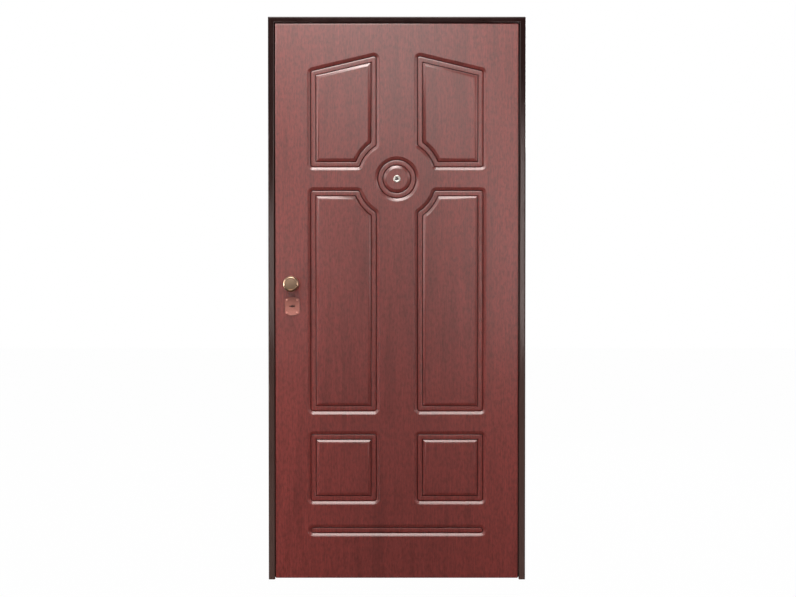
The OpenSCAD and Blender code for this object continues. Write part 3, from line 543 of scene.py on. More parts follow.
class DOOR_OT_moulded_panel(bpy.types.Operator):
    """Moulds the outer panel: routed fields, roundel and bar in a board with rounded edges"""

    bl_idname = "door.moulded_panel"
    bl_label = "Moulded Panel"

    def execute(self, context):
        s = sizes()
        low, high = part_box("outer_panel")
        reach = s.groove_half + GROOVE_FLAT
        self.draw_front(s, low, high, reach)
        self.fill_board(low, high)
        self.rout(s, high.y - low.y, reach)
        pick(
            "EDGE",
            lambda e: on_rim(e, low, high) and all(abs(v.co.y - low.y) < SAME_PLACE for v in e.verts),
        )
        bpy.ops.mesh.bevel(offset=EDGE_ROUND, segments=EDGE_CUTS, affect="EDGES", clamp_overlap=False)
        face_outward()
        finish_piece("moulded_panel", "leaf", "wood_panel", PANEL_SMOOTH, "outer_panel")
        return {"FINISHED"}

    def draw_front(self, s, low, high, reach):
        """Draws the rim of the board's front, and a face for each field, the bar, the roundel and the key"""
        front = low.y
        middle = (low + high) / 2
        clear_selection()
        bpy.ops.mesh.primitive_plane_add(size=1, rotation=FACING_OUT)
        bpy.ops.object.transform_apply(location=True, rotation=True, scale=True)
        bpy.ops.object.mode_set(mode="EDIT")
        bpy.ops.mesh.select_all(action="SELECT")
        bpy.ops.transform.resize(value=(high.x - low.x, 1, high.z - low.z), center_override=(0, 0, 0))
        bpy.ops.transform.translate(value=(middle.x, front, middle.z))
        bpy.ops.mesh.inset(thickness=BOARD_RIM, depth=0)
        bpy.ops.mesh.delete(type="ONLY_FACE")

        for path in field_paths(s):
            draw_face(outline_points(path, reach), front)
            draw_face(outline_points([(-x, z) for x, z in reversed(path)], reach), front)
        bar = [(-s.field_outer, s.bar_height), (s.field_outer, s.bar_height)]
        draw_face(outline_points(bar, reach), front)
        for x, z, radius, cuts in (
            (0, s.roundel_height, s.roundel_radius + reach, ROUNDEL_CUTS),
            (s.handle_x, s.key_height, KEY_BORE, KEY_BORE_CUTS),
        ):
            bpy.ops.mesh.select_all(action="DESELECT")
            bpy.ops.mesh.primitive_circle_add(
                vertices=cuts, radius=radius, fill_type="NGON", location=(x, front, z), rotation=FACING_OUT
            )

    def fill_board(self, low, high):
        """Fills the front between the drawn faces and closes the board's sides and back"""
        pick("EDGE", lambda e: open_edge(e) and not on_rim(e, low, high))
        bpy.ops.mesh.fill(use_beauty=True)
        pick("EDGE", open_edge)
        extrude((0, high.y - low.y, 0))
        bpy.ops.mesh.edge_face_add()
        weld(BOARD_WELD)
        face_outward()

    def rout(self, s, thickness, reach):
        """Sinks the key's hole, and routs the groove around the bar, the fields and the roundel"""
        profile = half_groove(s)
        bead_top = profile[0][1]
        falling = [(-reach, 0)] + [(-u, h) for u, h in reversed(profile[1:])]
        rising = [(-MIDDLE_GAP, bead_top)] + profile[1:] + [(reach, 0)]

        def height(face):
            return face.calc_center_median().z

        pick_outlines(
            1, "the key's hole",
            lambda f: f.calc_area() < LEAST_FIELD and abs(height(f) - s.key_height) < CLEAR_HEIGHT,
        )
        extrude((0, KEY_BORE_DEPTH * thickness, 0))
        pick_outlines(1, "the bar", lambda f: height(f) < s.square_bottom - CLEAR_HEIGHT)
        follow_profile(falling + [(-BAR_GAP, bead_top)])
        pick_outlines(
            FIELDS_AND_ROUNDEL, "the fields and the roundel",
            lambda f: f.calc_area() > LEAST_FIELD and height(f) > s.square_bottom,
        )
        follow_profile(falling + [(-MIDDLE_GAP, bead_top)])
        bpy.ops.mesh.remove_doubles(threshold=MIDDLE_WELD)
        if chosen_faces() != FIELDS_AND_ROUNDEL:
            raise RuntimeError("%d fields were left after their corners closed" % chosen_faces())
        follow_profile(rising)


# The knob's profile: the dish in its face as [radius, depth behind the tip], where its rounded rim starts,
# how far behind the tip it is widest and meets the neck, and the collar as [beyond the neck, off the panel]
KNOB_DISH = ((0, 0.0014), (0.010, 0.0016), (0.0185, 0.0022), (0.0204, 0.0022), (0.0209, 0.0012))
KNOB_RIM, KNOB_WIDEST, KNOB_FLARE, KNOB_NECK = 0.022, 0.013, 0.030, 0.010
KNOB_COLLAR = ((0, 0.013), (0.0006, 0.0112), (0.002, 0.0095), (0.002, 0.007))
# The rose: its bore and height, its rounded edge, and the steps in its face as [inside, off the panel]
ROSE_BORE, ROSE_HEIGHT = 0.008, 0.007
ROSE_SIDE, ROSE_ROUND, ROSE_ROUND_HEIGHT = 0.0035, 0.003, 0.004
ROSE_STEPS = ((0.006, 0.0066), (0.0072, 0.0066), (0.009, 0.007))


class DOOR_OT_knob(bpy.types.Operator):
    """Turns the knob and the rose behind it"""

    bl_idname = "door.knob"
    bl_label = "Knob"

    def execute(self, context):
        s = sizes()
        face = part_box("outer_panel")[0].y
        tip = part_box("knob")[0].y
        r = s.knob_radius
        flare, widest = tip + KNOB_FLARE, tip + KNOB_WIDEST
        profile = [(radius, tip + depth) for radius, depth in KNOB_DISH]
        profile += [
            (KNOB_RIM + (r - KNOB_RIM) * math.cos(a), widest + (tip - widest) * math.sin(a))
            for a in QUARTER_BACK
        ]
        profile += [
            (KNOB_NECK + (r - KNOB_NECK) * math.sin(a), widest + (flare - widest) * math.cos(a))
            for a in QUARTER_BACK[1:]
        ]
        profile += [(KNOB_NECK + beyond, face - off) for beyond, off in KNOB_COLLAR]
        profile += [(0, face - ROSE_HEIGHT)]
        turned_piece("door_knob", "aged_bronze", s.handle_x, s.handle_height, profile, "knob", steps=96)

        low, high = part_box("knob_rose")
        r = (high.x - low.x) / 2
        profile = [(ROSE_BORE, face), (r, face), (r, face - ROSE_SIDE)]
        profile += round_run((r - ROSE_ROUND, face - ROSE_ROUND_HEIGHT), ROSE_ROUND, 0, -90, 6)[1:]
        profile += [(r - inside, face - off) for inside, off in ROSE_STEPS]
        profile += [(ROSE_BORE, face - ROSE_HEIGHT), (ROSE_BORE, face)]
        turned_piece("knob_backplate", "aged_bronze", s.handle_x, s.handle_height, profile, "knob_rose")
        return {"FINISHED"}


# The viewer: clearance around the lens, width and depth of its seat, the chamfer in front of it as
# [beyond the ledge, off the panel], the tube's wall, the bezel's rounded edge and the lens's rim
LENS_GAP, SEAT_WIDTH, SEAT_DEPTH = 0.0001, 0.0011, 0.004
SEAT_CHAMFER = ((0, 0.0022), (0.0003, 0.0027))
BEZEL_FACE, TUBE_WALL, BEZEL_ROUND = 0.0009, 0.0004, 0.0022
LENS_RIM = 0.0006


class DOOR_OT_viewer(bpy.types.Operator):
    """Turns the door viewer's bezel and its lens"""

    bl_idname = "door.viewer"
    bl_label = "Viewer"

    def execute(self, context):
        z = sizes().roundel_height
        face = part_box("outer_panel")[0].y
        low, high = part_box("viewer_barrel")
        lens_low, lens_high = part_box("viewer_lens")
        r = (high.x - low.x) / 2
        lens_r = (lens_high.x - lens_low.x) / 2
        ledge = lens_r + LENS_GAP
        bore = ledge - SEAT_WIDTH
        seat = face + SEAT_DEPTH
        profile = [(bore, seat), (ledge, seat)]
        profile += [(ledge + beyond, face - off) for beyond, off in SEAT_CHAMFER]
        profile += [(ledge + BEZEL_FACE, low.y)]
        profile += round_run((r - BEZEL_ROUND, low.y + BEZEL_ROUND), BEZEL_ROUND, -90, 0, 7)
        tube = ledge + TUBE_WALL
        profile += [(r, face), (tube, face), (tube, high.y), (bore, high.y), (bore, seat)]
        turned_piece("viewer_bezel", "viewer_metal", 0, z, profile, "viewer_barrel")

        rim = face - LENS_RIM
        profile = [(0, lens_high.y), (lens_r, lens_high.y)]
        profile += [(lens_r * math.cos(a), rim - (rim - lens_low.y) * math.sin(a)) for a in QUARTER]
        turned_piece("viewer_glass_lens", "viewer_glass", 0, z, profile, "viewer_lens")
        return {"FINISHED"}


# The key plate: rise and cuts of its arched ends, its edge as [inset, rise], and its cuts: the round
# recess, the bore and the slot of the keyhole
ARCH_RISE, ARCH_CUTS = 0.007, 14
PLATE_EDGE = ((0.0003, 0.0006), (0.0005, 0.0005), (0.0009, 0.0003))
PLATE_EDGE_RISE = 0.0014
RECESS_RADIUS, RECESS_DEPTH, RECESS_CUTS = 0.014, 0.0016, 64
KEYHOLE_RADIUS, KEYHOLE_DEPTH, KEYHOLE_CUTS = 0.0044, 0.03, 40
KEYHOLE_SLOT = (0.021, 0.03, 0.0046)
# Its screws: head, shank, the slot in the head, where they sit from the key, and how far the slots are turned
HEAD_RADIUS, HEAD_HEIGHT, HEAD_STEP, HEAD_CUTS = 0.004, 0.002, 12, 7
SHANK_RADIUS, SHANK_LENGTH, SHANK_POINT = 0.002, 0.016, 0.017
SCREW_STEPS = 40
SCREW_SLOT = (0.012, 0.002, 0.0011)
SCREW_ASIDE, SCREW_ABOVE = 0.0185, 0.023
SCREW_CORNERS = ((-1, -1), (1, -1), (1, 1), (-1, 1))
FIRST_TURN, NEXT_TURN = 25, 40


class DOOR_OT_key_plate(bpy.types.Operator):
    """Shapes the plate around the key, cuts its keyhole and sets its four screws"""

    bl_idname = "door.key_plate"
    bl_label = "Key Plate"

    def execute(self, context):
        s = sizes()
        low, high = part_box("defender_plate")
        x, z = s.handle_x, s.key_height
        self.shape_plate(low, high, x, z)
        self.cut_keyhole(bpy.context.object, (x, low.y, z))
        finish_piece("key_plate", "leaf", "copper_plate", PLATE_SMOOTH, "defender_plate")
        self.set_screws(self.make_screw(x, low.y, z), (x, low.y, z))
        heads = finish_piece("key_plate_screws", "leaf", "copper_plate", SCREW_SMOOTH, "defender_screws")
        # Painted highlight: the screw heads get a brighter copy of the plate's copper
        heads.data.materials[0] = finish("copper_screws")
        return {"FINISHED"}

    def shape_plate(self, low, high, x, z):
        """Draws the plate's outline on the panel and draws it out to a plate with a rounded edge"""
        half_w, half_h = (high.x - low.x) / 2, (high.z - low.z) / 2
        r = (half_w**2 + ARCH_RISE**2) / (2 * ARCH_RISE)
        lean = math.asin(half_w / r)
        side = half_h - ARCH_RISE
        empty_mesh()
        start_chain((x + half_w, high.y, z - side))
        extrude((0, 0, 2 * side))
        run_arc((x, high.y, z + half_h - r), 2 * lean, ARCH_CUTS)
        extrude((0, 0, -2 * side))
        run_arc((x, high.y, z - half_h + r), 2 * lean, ARCH_CUTS)
        close_chain()
        extrude((0, low.y - high.y + PLATE_EDGE_RISE, 0))
        for inset, rise in PLATE_EDGE:
            bpy.ops.mesh.inset(thickness=inset, depth=rise, use_even_offset=True)
        pick("EDGE", open_edge)
        bpy.ops.mesh.edge_face_add()
        face_outward()
        bpy.ops.object.mode_set(mode="OBJECT")

    def cut_keyhole(self, plate, place):
        for cuts, radius, depth in (
            (RECESS_CUTS, RECESS_RADIUS, RECESS_DEPTH),
            (KEYHOLE_CUTS, KEYHOLE_RADIUS, KEYHOLE_DEPTH),
        ):
            bpy.ops.mesh.primitive_cylinder_add(
                vertices=cuts, radius=radius, depth=depth, location=place, rotation=FACING_OUT
            )
            carve(plate, bpy.context.object)
        bpy.ops.mesh.primitive_cube_add(size=1, location=place, scale=KEYHOLE_SLOT)
        bpy.ops.object.transform_apply(location=False, rotation=False, scale=True)
        carve(plate, bpy.context.object)

    def make_screw(self, x, y, z):
        """One slotted screw on the key's axis, its head on the plate's face"""
        turns = [math.radians(HEAD_STEP * i) for i in range(1, HEAD_CUTS + 1)]
        profile = [(0, y - HEAD_HEIGHT)]
        profile += [(HEAD_RADIUS * math.sin(a), y - HEAD_HEIGHT * math.cos(a)) for a in turns]
        profile += [(HEAD_RADIUS, y), (SHANK_RADIUS, y)]
        profile += [(SHANK_RADIUS, y + SHANK_LENGTH), (0, y + SHANK_POINT)]
        lathe(x, z, profile, SCREW_STEPS)
        screw = bpy.context.object
        bpy.ops.mesh.primitive_cube_add(size=1, location=(x, y - HEAD_HEIGHT, z), scale=SCREW_SLOT)
        bpy.ops.object.transform_apply(location=True, rotation=True, scale=True)
        carve(screw, bpy.context.object)
        return screw

    def set_screws(self, screw, place):
        """Copies the screw to the plate's corners and joins the copies"""
        screws = []
        for i, (side, end) in enumerate(SCREW_CORNERS):
            copy = screw.copy()
            copy.data = screw.data.copy()
            bpy.context.collection.objects.link(copy)
            make_active(copy)
            bpy.ops.object.mode_set(mode="EDIT")
            bpy.ops.mesh.select_all(action="SELECT")
            turn = math.radians(FIRST_TURN + NEXT_TURN * i)
            bpy.ops.transform.rotate(value=turn, orient_axis="Y", center_override=place)
            bpy.ops.transform.translate(value=(side * SCREW_ASIDE, 0, end * SCREW_ABOVE))
            bpy.ops.object.mode_set(mode="OBJECT")
            screws.append(copy)
        bpy.data.objects.remove(screw)
        clear_selection()
        for copy in screws:
            copy.select_set(True)
        bpy.context.view_layer.objects.active = screws[0]
        bpy.ops.object.join()


# Where most of a noise lies, and where a ramp of two tones has its stops
NOISE_LOW, NOISE_HIGH = 0.25, 0.75
DARK_STOP, LIGHT_STOP = 0.3, 0.7
# Places in metres: depths of the grooves' lines that get painted shade, the panel's edge, the sides that the
# painted light rises toward, and the jambs' foot and top for their painted sheen
LINE_DEPTHS = -0.040, -0.020
PANEL_EDGE, PANEL_SIDES = (0.34, 0.36), (0.12, 0.44)
JAMB_HEIGHTS = 0.0, 2.05


def settle(node, values):
    """Sets the node's own sockets"""
    for name, value in values.items():
        node.inputs[name].default_value = value


def fresh_tree(holder, kind):
    """Clears the nodes of a material or world, and leaves its output"""
    holder.use_nodes = True
    tree = holder.node_tree
    tree.nodes.clear()
    return tree, tree.nodes.new(kind)


def new_shader(name):
    material = bpy.data.materials.new(name)
    tree, output = fresh_tree(material, "ShaderNodeOutputMaterial")
    shader = tree.nodes.new("ShaderNodeBsdfPrincipled")
    tree.links.new(shader.outputs["BSDF"], output.inputs["Surface"])
    return material, tree, shader


def speckle(tree, stretch, scale, detail, roughness, distortion=0.0):
    """Noise in the object's own place, with its coordinates multiplied by stretch"""
    place = tree.nodes.new("ShaderNodeTexCoord")
    mapping = tree.nodes.new("ShaderNodeMapping")
    settle(mapping, {"Scale": stretch})
    noise = tree.nodes.new("ShaderNodeTexNoise")
    settle(noise, {"Scale": scale, "Detail": detail, "Roughness": roughness, "Distortion": distortion})
    tree.links.new(place.outputs["Object"], mapping.inputs["Vector"])
    tree.links.new(mapping.outputs["Vector"], noise.inputs["Vector"])
    return noise.outputs["Fac"]


def ramp(tree, factor, stops):
    node = tree.nodes.new("ShaderNodeValToRGB")
    bar = node.color_ramp
    while len(bar.elements) < len(stops):
        bar.elements.new(0.5)
    for element, (position, colour) in zip(bar.elements, stops):
        element.position = position
        element.color = (*colour, 1)
    tree.links.new(factor, node.inputs["Fac"])
    return node.outputs["Color"]


def two_tones(tree, factor, dark, light):
    """From dark to light over the range that most of a noise lies in"""
    return ramp(tree, factor, [(DARK_STOP, dark), (LIGHT_STOP, light)])


def blend_colours(tree, factor, first, second, kind="MIX"):
    node = tree.nodes.new("ShaderNodeMix")
    node.data_type = "RGBA"
    node.blend_type = kind
    if isinstance(factor, float):
        node.inputs["Factor"].default_value = factor
    else:
        tree.links.new(factor, node.inputs["Factor"])
    tree.links.new(first, node.inputs["A"])
    tree.links.new(second, node.inputs["B"])
    return node.outputs["Result"]


def spread(tree, factor, low, high):
    """Turns a noise into values from low to high"""
    node = tree.nodes.new("ShaderNodeMapRange")
    settle(node, {"From Min": NOISE_LOW, "From Max": NOISE_HIGH, "To Min": low, "To Max": high})
    tree.links.new(factor, node.inputs["Value"])
    return node.outputs["Result"]


def relief(tree, shader, height, strength, distance):
    node = tree.nodes.new("ShaderNodeBump")
    settle(node, {"Strength": strength, "Distance": distance})
    tree.links.new(height, node.inputs["Height"])
    tree.links.new(node.outputs["Normal"], shader.inputs["Normal"])


def tint(colour, amount):
    return tuple(min(1.0, c * amount) for c in colour)


def grey(level):
    return (level, level, level)


def fade_along(tree, axis, start, end, source="Object", both_sides=False, most=1.0):
    """0 up to start along the axis, rising to most at end; on both sides of the door's middle if asked"""
    place = tree.nodes.new("ShaderNodeTexCoord")
    split = tree.nodes.new("ShaderNodeSeparateXYZ")
    tree.links.new(place.outputs[source], split.inputs["Vector"])
    along = split.outputs[axis]
    if both_sides:
        aside = tree.nodes.new("ShaderNodeMath")
        aside.operation = "ABSOLUTE"
        tree.links.new(along, aside.inputs[0])
        along = aside.outputs[0]
    fade = tree.nodes.new("ShaderNodeMapRange")
    settle(fade, {"From Min": start, "From Max": end, "To Max": most})
    tree.links.new(along, fade.inputs["Value"])
    return fade.outputs["Result"]


def painted_groove_shade(tree):
    """Painted shade: darkens the bottom of the grooves' narrow lines, by their depth, where shade falls; the
    panel's own edges are left out
    """
    painted_shade = tuple(colours().line_painted_shade)
    depth = fade_along(tree, "Y", *LINE_DEPTHS)
    lines = ramp(tree, depth, [(0.33, WHITE), (0.38, painted_shade), (0.55, painted_shade), (0.70, WHITE)])
    aside = fade_along(tree, "X", *PANEL_EDGE, both_sides=True)
    edge = ramp(tree, aside, [(0.0, BLACK), (1.0, WHITE)])
    return blend_colours(tree, 1.0, lines, edge, "LIGHTEN")


def wood_finish(name):
    """Reddish wood grain under a semi-gloss film: upright fibres, broad bands, flecks and fine pores, with
    painted shade in the grooves' narrow lines and painted light that leaves the middle darker than the sides
    """
    material, tree, shader = new_shader(name)
    light, dark = tuple(colours().wood_light), tuple(colours().wood_dark)
    middle = tuple((a + b) / 2 for a, b in zip(light, dark))
    fibre = speckle(tree, (1, 1, 0.022), scale=330, detail=6, roughness=0.62, distortion=0.15)
    bands = speckle(tree, (1, 1, 0.07), scale=21, detail=4, roughness=0.55, distortion=0.6)
    flecks = speckle(tree, (1, 1, 0.35), scale=170, detail=3, roughness=0.6, distortion=0.3)
    pores = speckle(tree, (1, 1, 0.03), scale=1150, detail=2, roughness=0.5)
    # Painted light: the wood is made darker in the panel's middle and lighter toward its sides, where more
    # light falls
    sides = fade_along(tree, "X", *PANEL_SIDES, both_sides=True)
    colour = ramp(tree, fibre, [(0.30, dark), (0.50, middle), (0.72, light)])
    for shade in (
        ramp(tree, bands, [(0.32, (0.80, 0.78, 0.78)), (0.50, WHITE)]),
        ramp(tree, flecks, [(0.36, (0.62, 0.58, 0.55)), (0.50, grey(0.87)), (0.62, WHITE)]),
        ramp(tree, pores, [(0.30, (0.62, 0.58, 0.58)), (0.42, WHITE)]),
        ramp(tree, sides, [(0.0, grey(0.80)), (1.0, WHITE)]),
        painted_groove_shade(tree),
    ):
        colour = blend_colours(tree, 1.0, colour, shade, "MULTIPLY")
    tree.links.new(colour, shader.inputs["Base Color"])
    tree.links.new(spread(tree, fibre, 0.32, 0.38), shader.inputs["Roughness"])
    settle(shader, {"Specular IOR Level": 0.9, "Specular Tint": (1.0, 0.93, 0.88, 1)})
    settle(shader, {"Coat Weight": 0.36, "Coat Roughness": 0.26})
    relief(tree, shader, pores, strength=0.12, distance=0.0003)
    return material


def frame_finish(name):
    """Dark brown powder coat with a faint orange peel; a painted sheen makes it paler lower down the jambs and
    leaves it dark at their top
    """
    material, tree, shader = new_shader(name)
    brown, sheen_colour = tuple(colours().frame_brown), tuple(colours().frame_sheen)
    peel = speckle(tree, EVEN, scale=900, detail=2, roughness=0.5)
    cloud = speckle(tree, (1, 1, 0.35), scale=14, detail=5, roughness=0.6)
    coat = two_tones(tree, cloud, tint(brown, 0.8), tint(brown, 1.25))
    painted_sheen = two_tones(tree, cloud, tint(sheen_colour, 0.85), tint(sheen_colour, 1.15))
    # Painted sheen: paler tone low on the jambs, fading to the dark coat toward the top, where less light is
    # reflected
    up = fade_along(tree, "Z", *JAMB_HEIGHTS)
    sheen_share = ramp(tree, up, [(0.0, WHITE), (0.30, grey(0.72)), (0.86, BLACK)])
    tree.links.new(blend_colours(tree, sheen_share, coat, painted_sheen), shader.inputs["Base Color"])
    tree.links.new(spread(tree, cloud, 0.12, 0.17), shader.inputs["Roughness"])
    settle(shader, {"Specular IOR Level": 0.32, "Specular Tint": (1.0, 0.84, 0.81, 1)})
    relief(tree, shader, peel, strength=0.1, distance=0.0002)
    return material


def metal_finish(name, colour, roughness, variation, brushed=EVEN, scale=160, wear=0.06, metallic=1.0):
    """Metal with patches of tone and fine marks; colour names one of the door's colours"""
    material, tree, shader = new_shader(name)
    base = tuple(getattr(colours(), colour))
    patch = speckle(tree, EVEN, scale=scale, detail=5, roughness=0.6)
    marks = speckle(tree, brushed, scale=1400, detail=3, roughness=0.6)
    tone = two_tones(tree, patch, tint(base, 1 - variation), tint(base, 1 + variation))
    tree.links.new(tone, shader.inputs["Base Color"])
    tree.links.new(spread(tree, patch, roughness - 0.05, roughness + 0.06), shader.inputs["Roughness"])
    settle(shader, {"Metallic": metallic})
    relief(tree, shader, marks, strength=wear, distance=0.0001)
    return material


# Dark and light tones of what hardly shows
RUBBER = grey(0.008), grey(0.018)
WOOL = (0.30, 0.24, 0.10), (0.58, 0.50, 0.26)
GLASS = (0.30, 0.33, 0.33), (0.38, 0.41, 0.41)


def rubber_finish(name):
    """Matt black rubber"""
    material, tree, shader = new_shader(name)
    grain = speckle(tree, EVEN, scale=700, detail=3, roughness=0.6)
    tree.links.new(two_tones(tree, grain, *RUBBER), shader.inputs["Base Color"])
    tree.links.new(spread(tree, grain, 0.6, 0.75), shader.inputs["Roughness"])
    relief(tree, shader, grain, strength=0.1, distance=0.0003)
    return material


def wool_finish(name):
    """Mineral wool: tangled pale fibres"""
    material, tree, shader = new_shader(name)
    tangle = speckle(tree, (1, 1, 0.4), scale=420, detail=8, roughness=0.7, distortion=1.2)
    tree.links.new(two_tones(tree, tangle, *WOOL), shader.inputs["Base Color"])
    settle(shader, {"Roughness": 0.95})
    relief(tree, shader, tangle, strength=0.6, distance=0.002)
    return material


def lens_finish(name):
    """Clear glass of the viewer, faintly clouded"""
    material, tree, shader = new_shader(name)
    cloud = speckle(tree, EVEN, scale=220, detail=3, roughness=0.5)
    tree.links.new(two_tones(tree, cloud, *GLASS), shader.inputs["Base Color"])
    tree.links.new(spread(tree, cloud, 0.02, 0.05), shader.inputs["Roughness"])
    settle(shader, {"Transmission Weight": 0.85, "IOR": 1.5})
    return material


MAKERS = {
    "wood_panel": wood_finish,
    "frame_paint": frame_finish,
    "hinge_paint": frame_finish,
    "seal_rubber": rubber_finish,
    "insulation_wool": wool_finish,
    "viewer_glass": lens_finish,
}
METALS = {
    "plated_steel": dict(colour="steel", roughness=0.34, variation=0.10, brushed=(1, 1, 0.1), scale=90),
    "washer_brass": dict(colour="brass", roughness=0.30, variation=0.12),
    "aged_bronze": dict(colour="bronze", roughness=0.34, variation=0.10, scale=60, wear=0.01),
    "copper_plate": dict(
        colour="copper", roughness=0.46, variation=0.10, brushed=(0.15, 1, 1), scale=120, wear=0.02,
        metallic=0.35,
    ),
    "copper_screws": dict(
        colour="screw_highlight_copper", roughness=0.34, variation=0.10, scale=120, wear=0.02, metallic=0.35
    ),
    "viewer_metal": dict(colour="nickel", roughness=0.30, variation=0.06, wear=0.015),
}


def finish(slot):
    """The material of a slot, made once"""
    name = "finish_" + slot
    ready = bpy.data.materials.get(name)
    if ready:
        return ready
    if slot in METALS:
        return metal_finish(name, **METALS[slot])
    if slot not in MAKERS:
        raise RuntimeError("no finish is made for the slot " + slot)
    return MAKERS[slot](name)


class DOOR_OT_finishes(bpy.types.Operator):
    """Gives every piece carried over from the solid model the finish of its slot"""

    bl_idname = "door.finishes"
    bl_label = "Finishes"

    def execute(self, context):
        for row in frame["record"]["subparts"]:
            piece = frame["nodes"][row["node"]]
            material = finish(row["material_slot"])
            piece.data.materials.clear()
            piece.data.materials.append(material)
        return {"FINISHED"}


# Name, place, what it points at, width, height, watts, and whether it shows as gloss, as shade or as both
LAMPS = (
    ("front_top_box", (-0.8, -4.6, 4.9), (0, 0, 0.9), 3.6, 2.6, 258, "both"),
    ("overhead_box", (-0.4, -1.5, 4.3), (0, 0, 0.8), 1.8, 0.45, 10, "both"),
    ("overhead_glint", (-0.4, -1.5, 4.2), (0, 0, 1.2), 1.8, 0.7, 62, "gloss"),
    ("haze_glint", (0, -4.0, 2.35), (0, 0, 1.7), 1.4, 0.6, 6.4, "gloss"),
    ("left_low_box", (-1.95, -1.9, 0.33), (-0.3, 0, 1.1), 0.25, 0.25, 17, "shade"),
    ("right_low_box", (1.95, -1.9, 0.5), (0.3, 0, 1.0), 0.4, 0.4, 5, "shade"),
    ("left_side_glint", (-2.4, -0.2, 1.15), (-0.3, -0.1, 1.1), 0.7, 1.6, 70, "gloss"),
    ("right_side_glint", (2.4, -0.2, 1.15), (0.3, -0.1, 1.1), 0.5, 1.2, 36, "gloss"),
    ("left_front_glint", (-4.6, -3.6, 3.4), (0, 0, 1.2), 2.0, 2.4, 60, "gloss"),
    ("right_front_glint", (4.6, -3.6, 3.4), (0, 0, 1.2), 2.0, 2.4, 45, "gloss"),
    ("left_strip", (-0.94, -4.45, 1.2), (-0.94, 0, 1.2), 0.2, 0.9, 4, "both"),
    ("right_strip", (0.95, -4.45, 1.4), (0.95, 0, 1.4), 0.2, 1.6, 9.5, "both"),
    ("back_box", (0.8, 3.2, 2.6), (0, 0, 1.0), 2.0, 1.5, 120, "both"),
)
# The camera of the photo: its place, how far it dips in degrees, its lens and sensor in millimetres
CAMERA_PLACE, CAMERA_DIP = (0.004, -4.542, 1.10), 0.93
CAMERA_LENS, CAMERA_SENSOR = 55.9, 36
CAMERA_REACH = 100
# White: how much of it the floor shows, and how much shows in glossy surfaces, from the floor and from
# behind the door; then the floor's own tone, plain and in glossy surfaces, and the fill from all around
FLOOR_SIZE = 30
FLOOR_WHITE, FLOOR_MIRRORED, BACK_MIRRORED = 0.99, 0.04, 0.3
FLOOR_MATT, FLOOR_MATT_MIRRORED = 0.55, 0.05
FILL_LIGHT = 0.02


def softbox(name, place, target, width, height, power, shows):
    aim = (Vector(target) - Vector(place)).to_track_quat("-Z", "Y").to_euler()
    bpy.ops.object.light_add(type="AREA", location=place, rotation=aim)
    lamp = bpy.context.object
    lamp.name = name
    lamp.data.shape = "RECTANGLE"
    lamp.data.size = width
    lamp.data.size_y = height
    lamp.data.energy = power
    lamp.visible_diffuse = shows != "gloss"
    lamp.visible_glossy = shows != "shade"


def calculate(tree, operation, first, second):
    """A Math node; second is a socket or a number"""
    node = tree.nodes.new("ShaderNodeMath")
    node.operation = operation
    tree.links.new(first, node.inputs[0])
    if isinstance(second, float):
        node.inputs[1].default_value = second
    else:
        tree.links.new(second, node.inputs[1])
    return node.outputs[0]


def seen_directly(tree, share, mirrored):
    """How much of the plain white shows: share of it to the camera and through glass, and of that
    the mirrored part in glossy surfaces"""
    path = tree.nodes.new("ShaderNodeLightPath")
    total = calculate(tree, "MULTIPLY", path.outputs["Is Glossy Ray"], mirrored)
    for ray in ("Is Camera Ray", "Is Transmission Ray"):
        total = calculate(tree, "MAXIMUM", total, path.outputs[ray])
    return calculate(tree, "MULTIPLY", total, share)


def mix_surface(tree, output, factor, first, second):
    mix = tree.nodes.new("ShaderNodeMixShader")
    tree.links.new(factor, mix.inputs["Fac"])
    tree.links.new(first, mix.inputs[1])
    tree.links.new(second, mix.inputs[2])
    tree.links.new(mix.outputs["Shader"], output.inputs["Surface"])


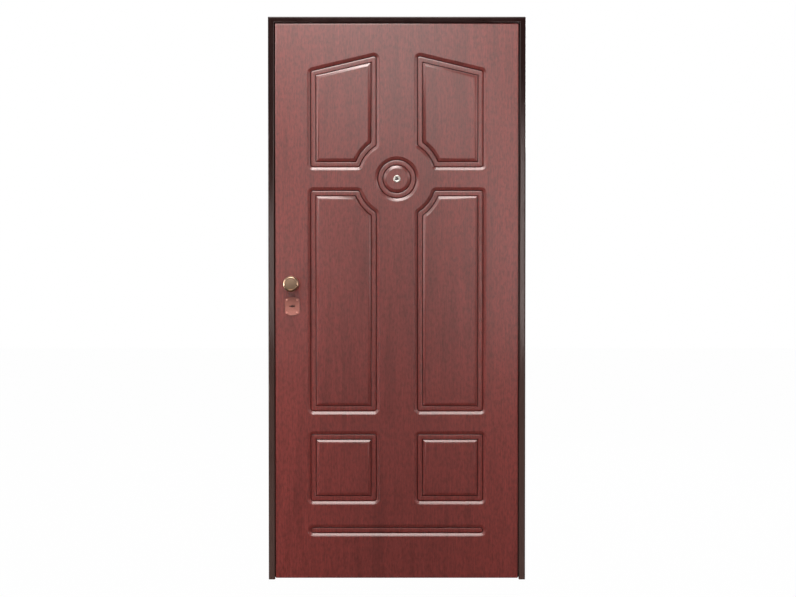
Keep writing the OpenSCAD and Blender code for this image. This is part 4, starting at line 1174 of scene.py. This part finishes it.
class DOOR_OT_studio(bpy.types.Operator):
    """Sets the floor, the white surroundings, the soft lights and the camera"""

    bl_idname = "door.studio"
    bl_label = "Studio"

    def execute(self, context):
        clear_selection()
        self.lay_floor()
        self.surround(context.scene)
        for lamp in LAMPS:
            softbox(*lamp)
        self.place_camera(context.scene)
        context.scene.view_settings.view_transform = "Standard"
        return {"FINISHED"}

    def lay_floor(self):
        bpy.ops.mesh.primitive_plane_add(size=FLOOR_SIZE, location=(0, 0, 0))
        floor = bpy.context.object
        floor.name = "studio_floor"
        material = bpy.data.materials.new("studio_floor")
        tree, output = fresh_tree(material, "ShaderNodeOutputMaterial")
        path = tree.nodes.new("ShaderNodeLightPath")
        matt = tree.nodes.new("ShaderNodeBsdfDiffuse")
        tones = [(0.0, grey(FLOOR_MATT)), (1.0, grey(FLOOR_MATT_MIRRORED))]
        tree.links.new(ramp(tree, path.outputs["Is Glossy Ray"], tones), matt.inputs["Color"])
        glow = tree.nodes.new("ShaderNodeEmission")
        settle(glow, {"Strength": 1.0})
        white = seen_directly(tree, FLOOR_WHITE, FLOOR_MIRRORED)
        mix_surface(tree, output, white, matt.outputs["BSDF"], glow.outputs["Emission"])
        floor.data.materials.append(material)

    def surround(self, scene):
        """White behind the door to the camera, less of it in glossy surfaces, and a faint fill all around"""
        world = bpy.data.worlds.new("studio")
        scene.world = world
        tree, output = fresh_tree(world, "ShaderNodeOutputWorld")
        levels = []
        for strength in (FILL_LIGHT, 1.0):
            level = tree.nodes.new("ShaderNodeBackground")
            settle(level, {"Color": (*WHITE, 1), "Strength": strength})
            levels.append(level.outputs["Background"])
        behind = fade_along(tree, "Y", -0.25, 0.25, source="Generated", most=BACK_MIRRORED)
        mix_surface(tree, output, seen_directly(tree, 1.0, behind), *levels)

    def place_camera(self, scene):
        bpy.ops.object.camera_add(location=CAMERA_PLACE, rotation=(math.radians(90 - CAMERA_DIP), 0, 0))
        camera = bpy.context.object
        camera.name = "photo_view"
        camera.data.sensor_fit = "HORIZONTAL"
        camera.data.sensor_width = CAMERA_SENSOR
        camera.data.lens = CAMERA_LENS
        camera.data.clip_end = CAMERA_REACH
        scene.camera = camera


class DOOR_PT_pieces(bpy.types.Panel):
    """Lists the door's pieces"""

    bl_idname = "DOOR_PT_pieces"
    bl_label = "Panelled Front Door"
    bl_space_type = "VIEW_3D"
    bl_region_type = "UI"
    bl_category = "Door"

    def draw(self, context):
        for step in STEPS:
            self.layout.operator(step.bl_idname)
        for group in (context.scene.door_sizes, context.scene.door_colours):
            box = self.layout.box()
            for name in group.bl_rna.properties.keys():
                if name not in ("rna_type", "name"):
                    box.prop(group, name)


STEPS = (
    DOOR_OT_studio,
    DOOR_OT_finishes,
    DOOR_OT_moulded_panel,
    DOOR_OT_knob,
    DOOR_OT_viewer,
    DOOR_OT_key_plate,
)
CLASSES = (DoorSizes, DoorColours, *STEPS, DOOR_PT_pieces)


def register():
    for cls in CLASSES:
        bpy.utils.register_class(cls)
    bpy.types.Scene.door_sizes = bpy.props.PointerProperty(type=DoorSizes)
    bpy.types.Scene.door_colours = bpy.props.PointerProperty(type=DoorColours)


def unregister():
    del bpy.types.Scene.door_colours
    del bpy.types.Scene.door_sizes
    for cls in reversed(CLASSES):
        bpy.utils.unregister_class(cls)


def main():
    register()
    bpy.ops.door.studio()
    bpy.ops.door.finishes()
    bpy.ops.door.moulded_panel()
    bpy.ops.door.knob()
    bpy.ops.door.viewer()
    bpy.ops.door.key_plate()
    clear_selection()


if __name__ == "__main__":
    main()
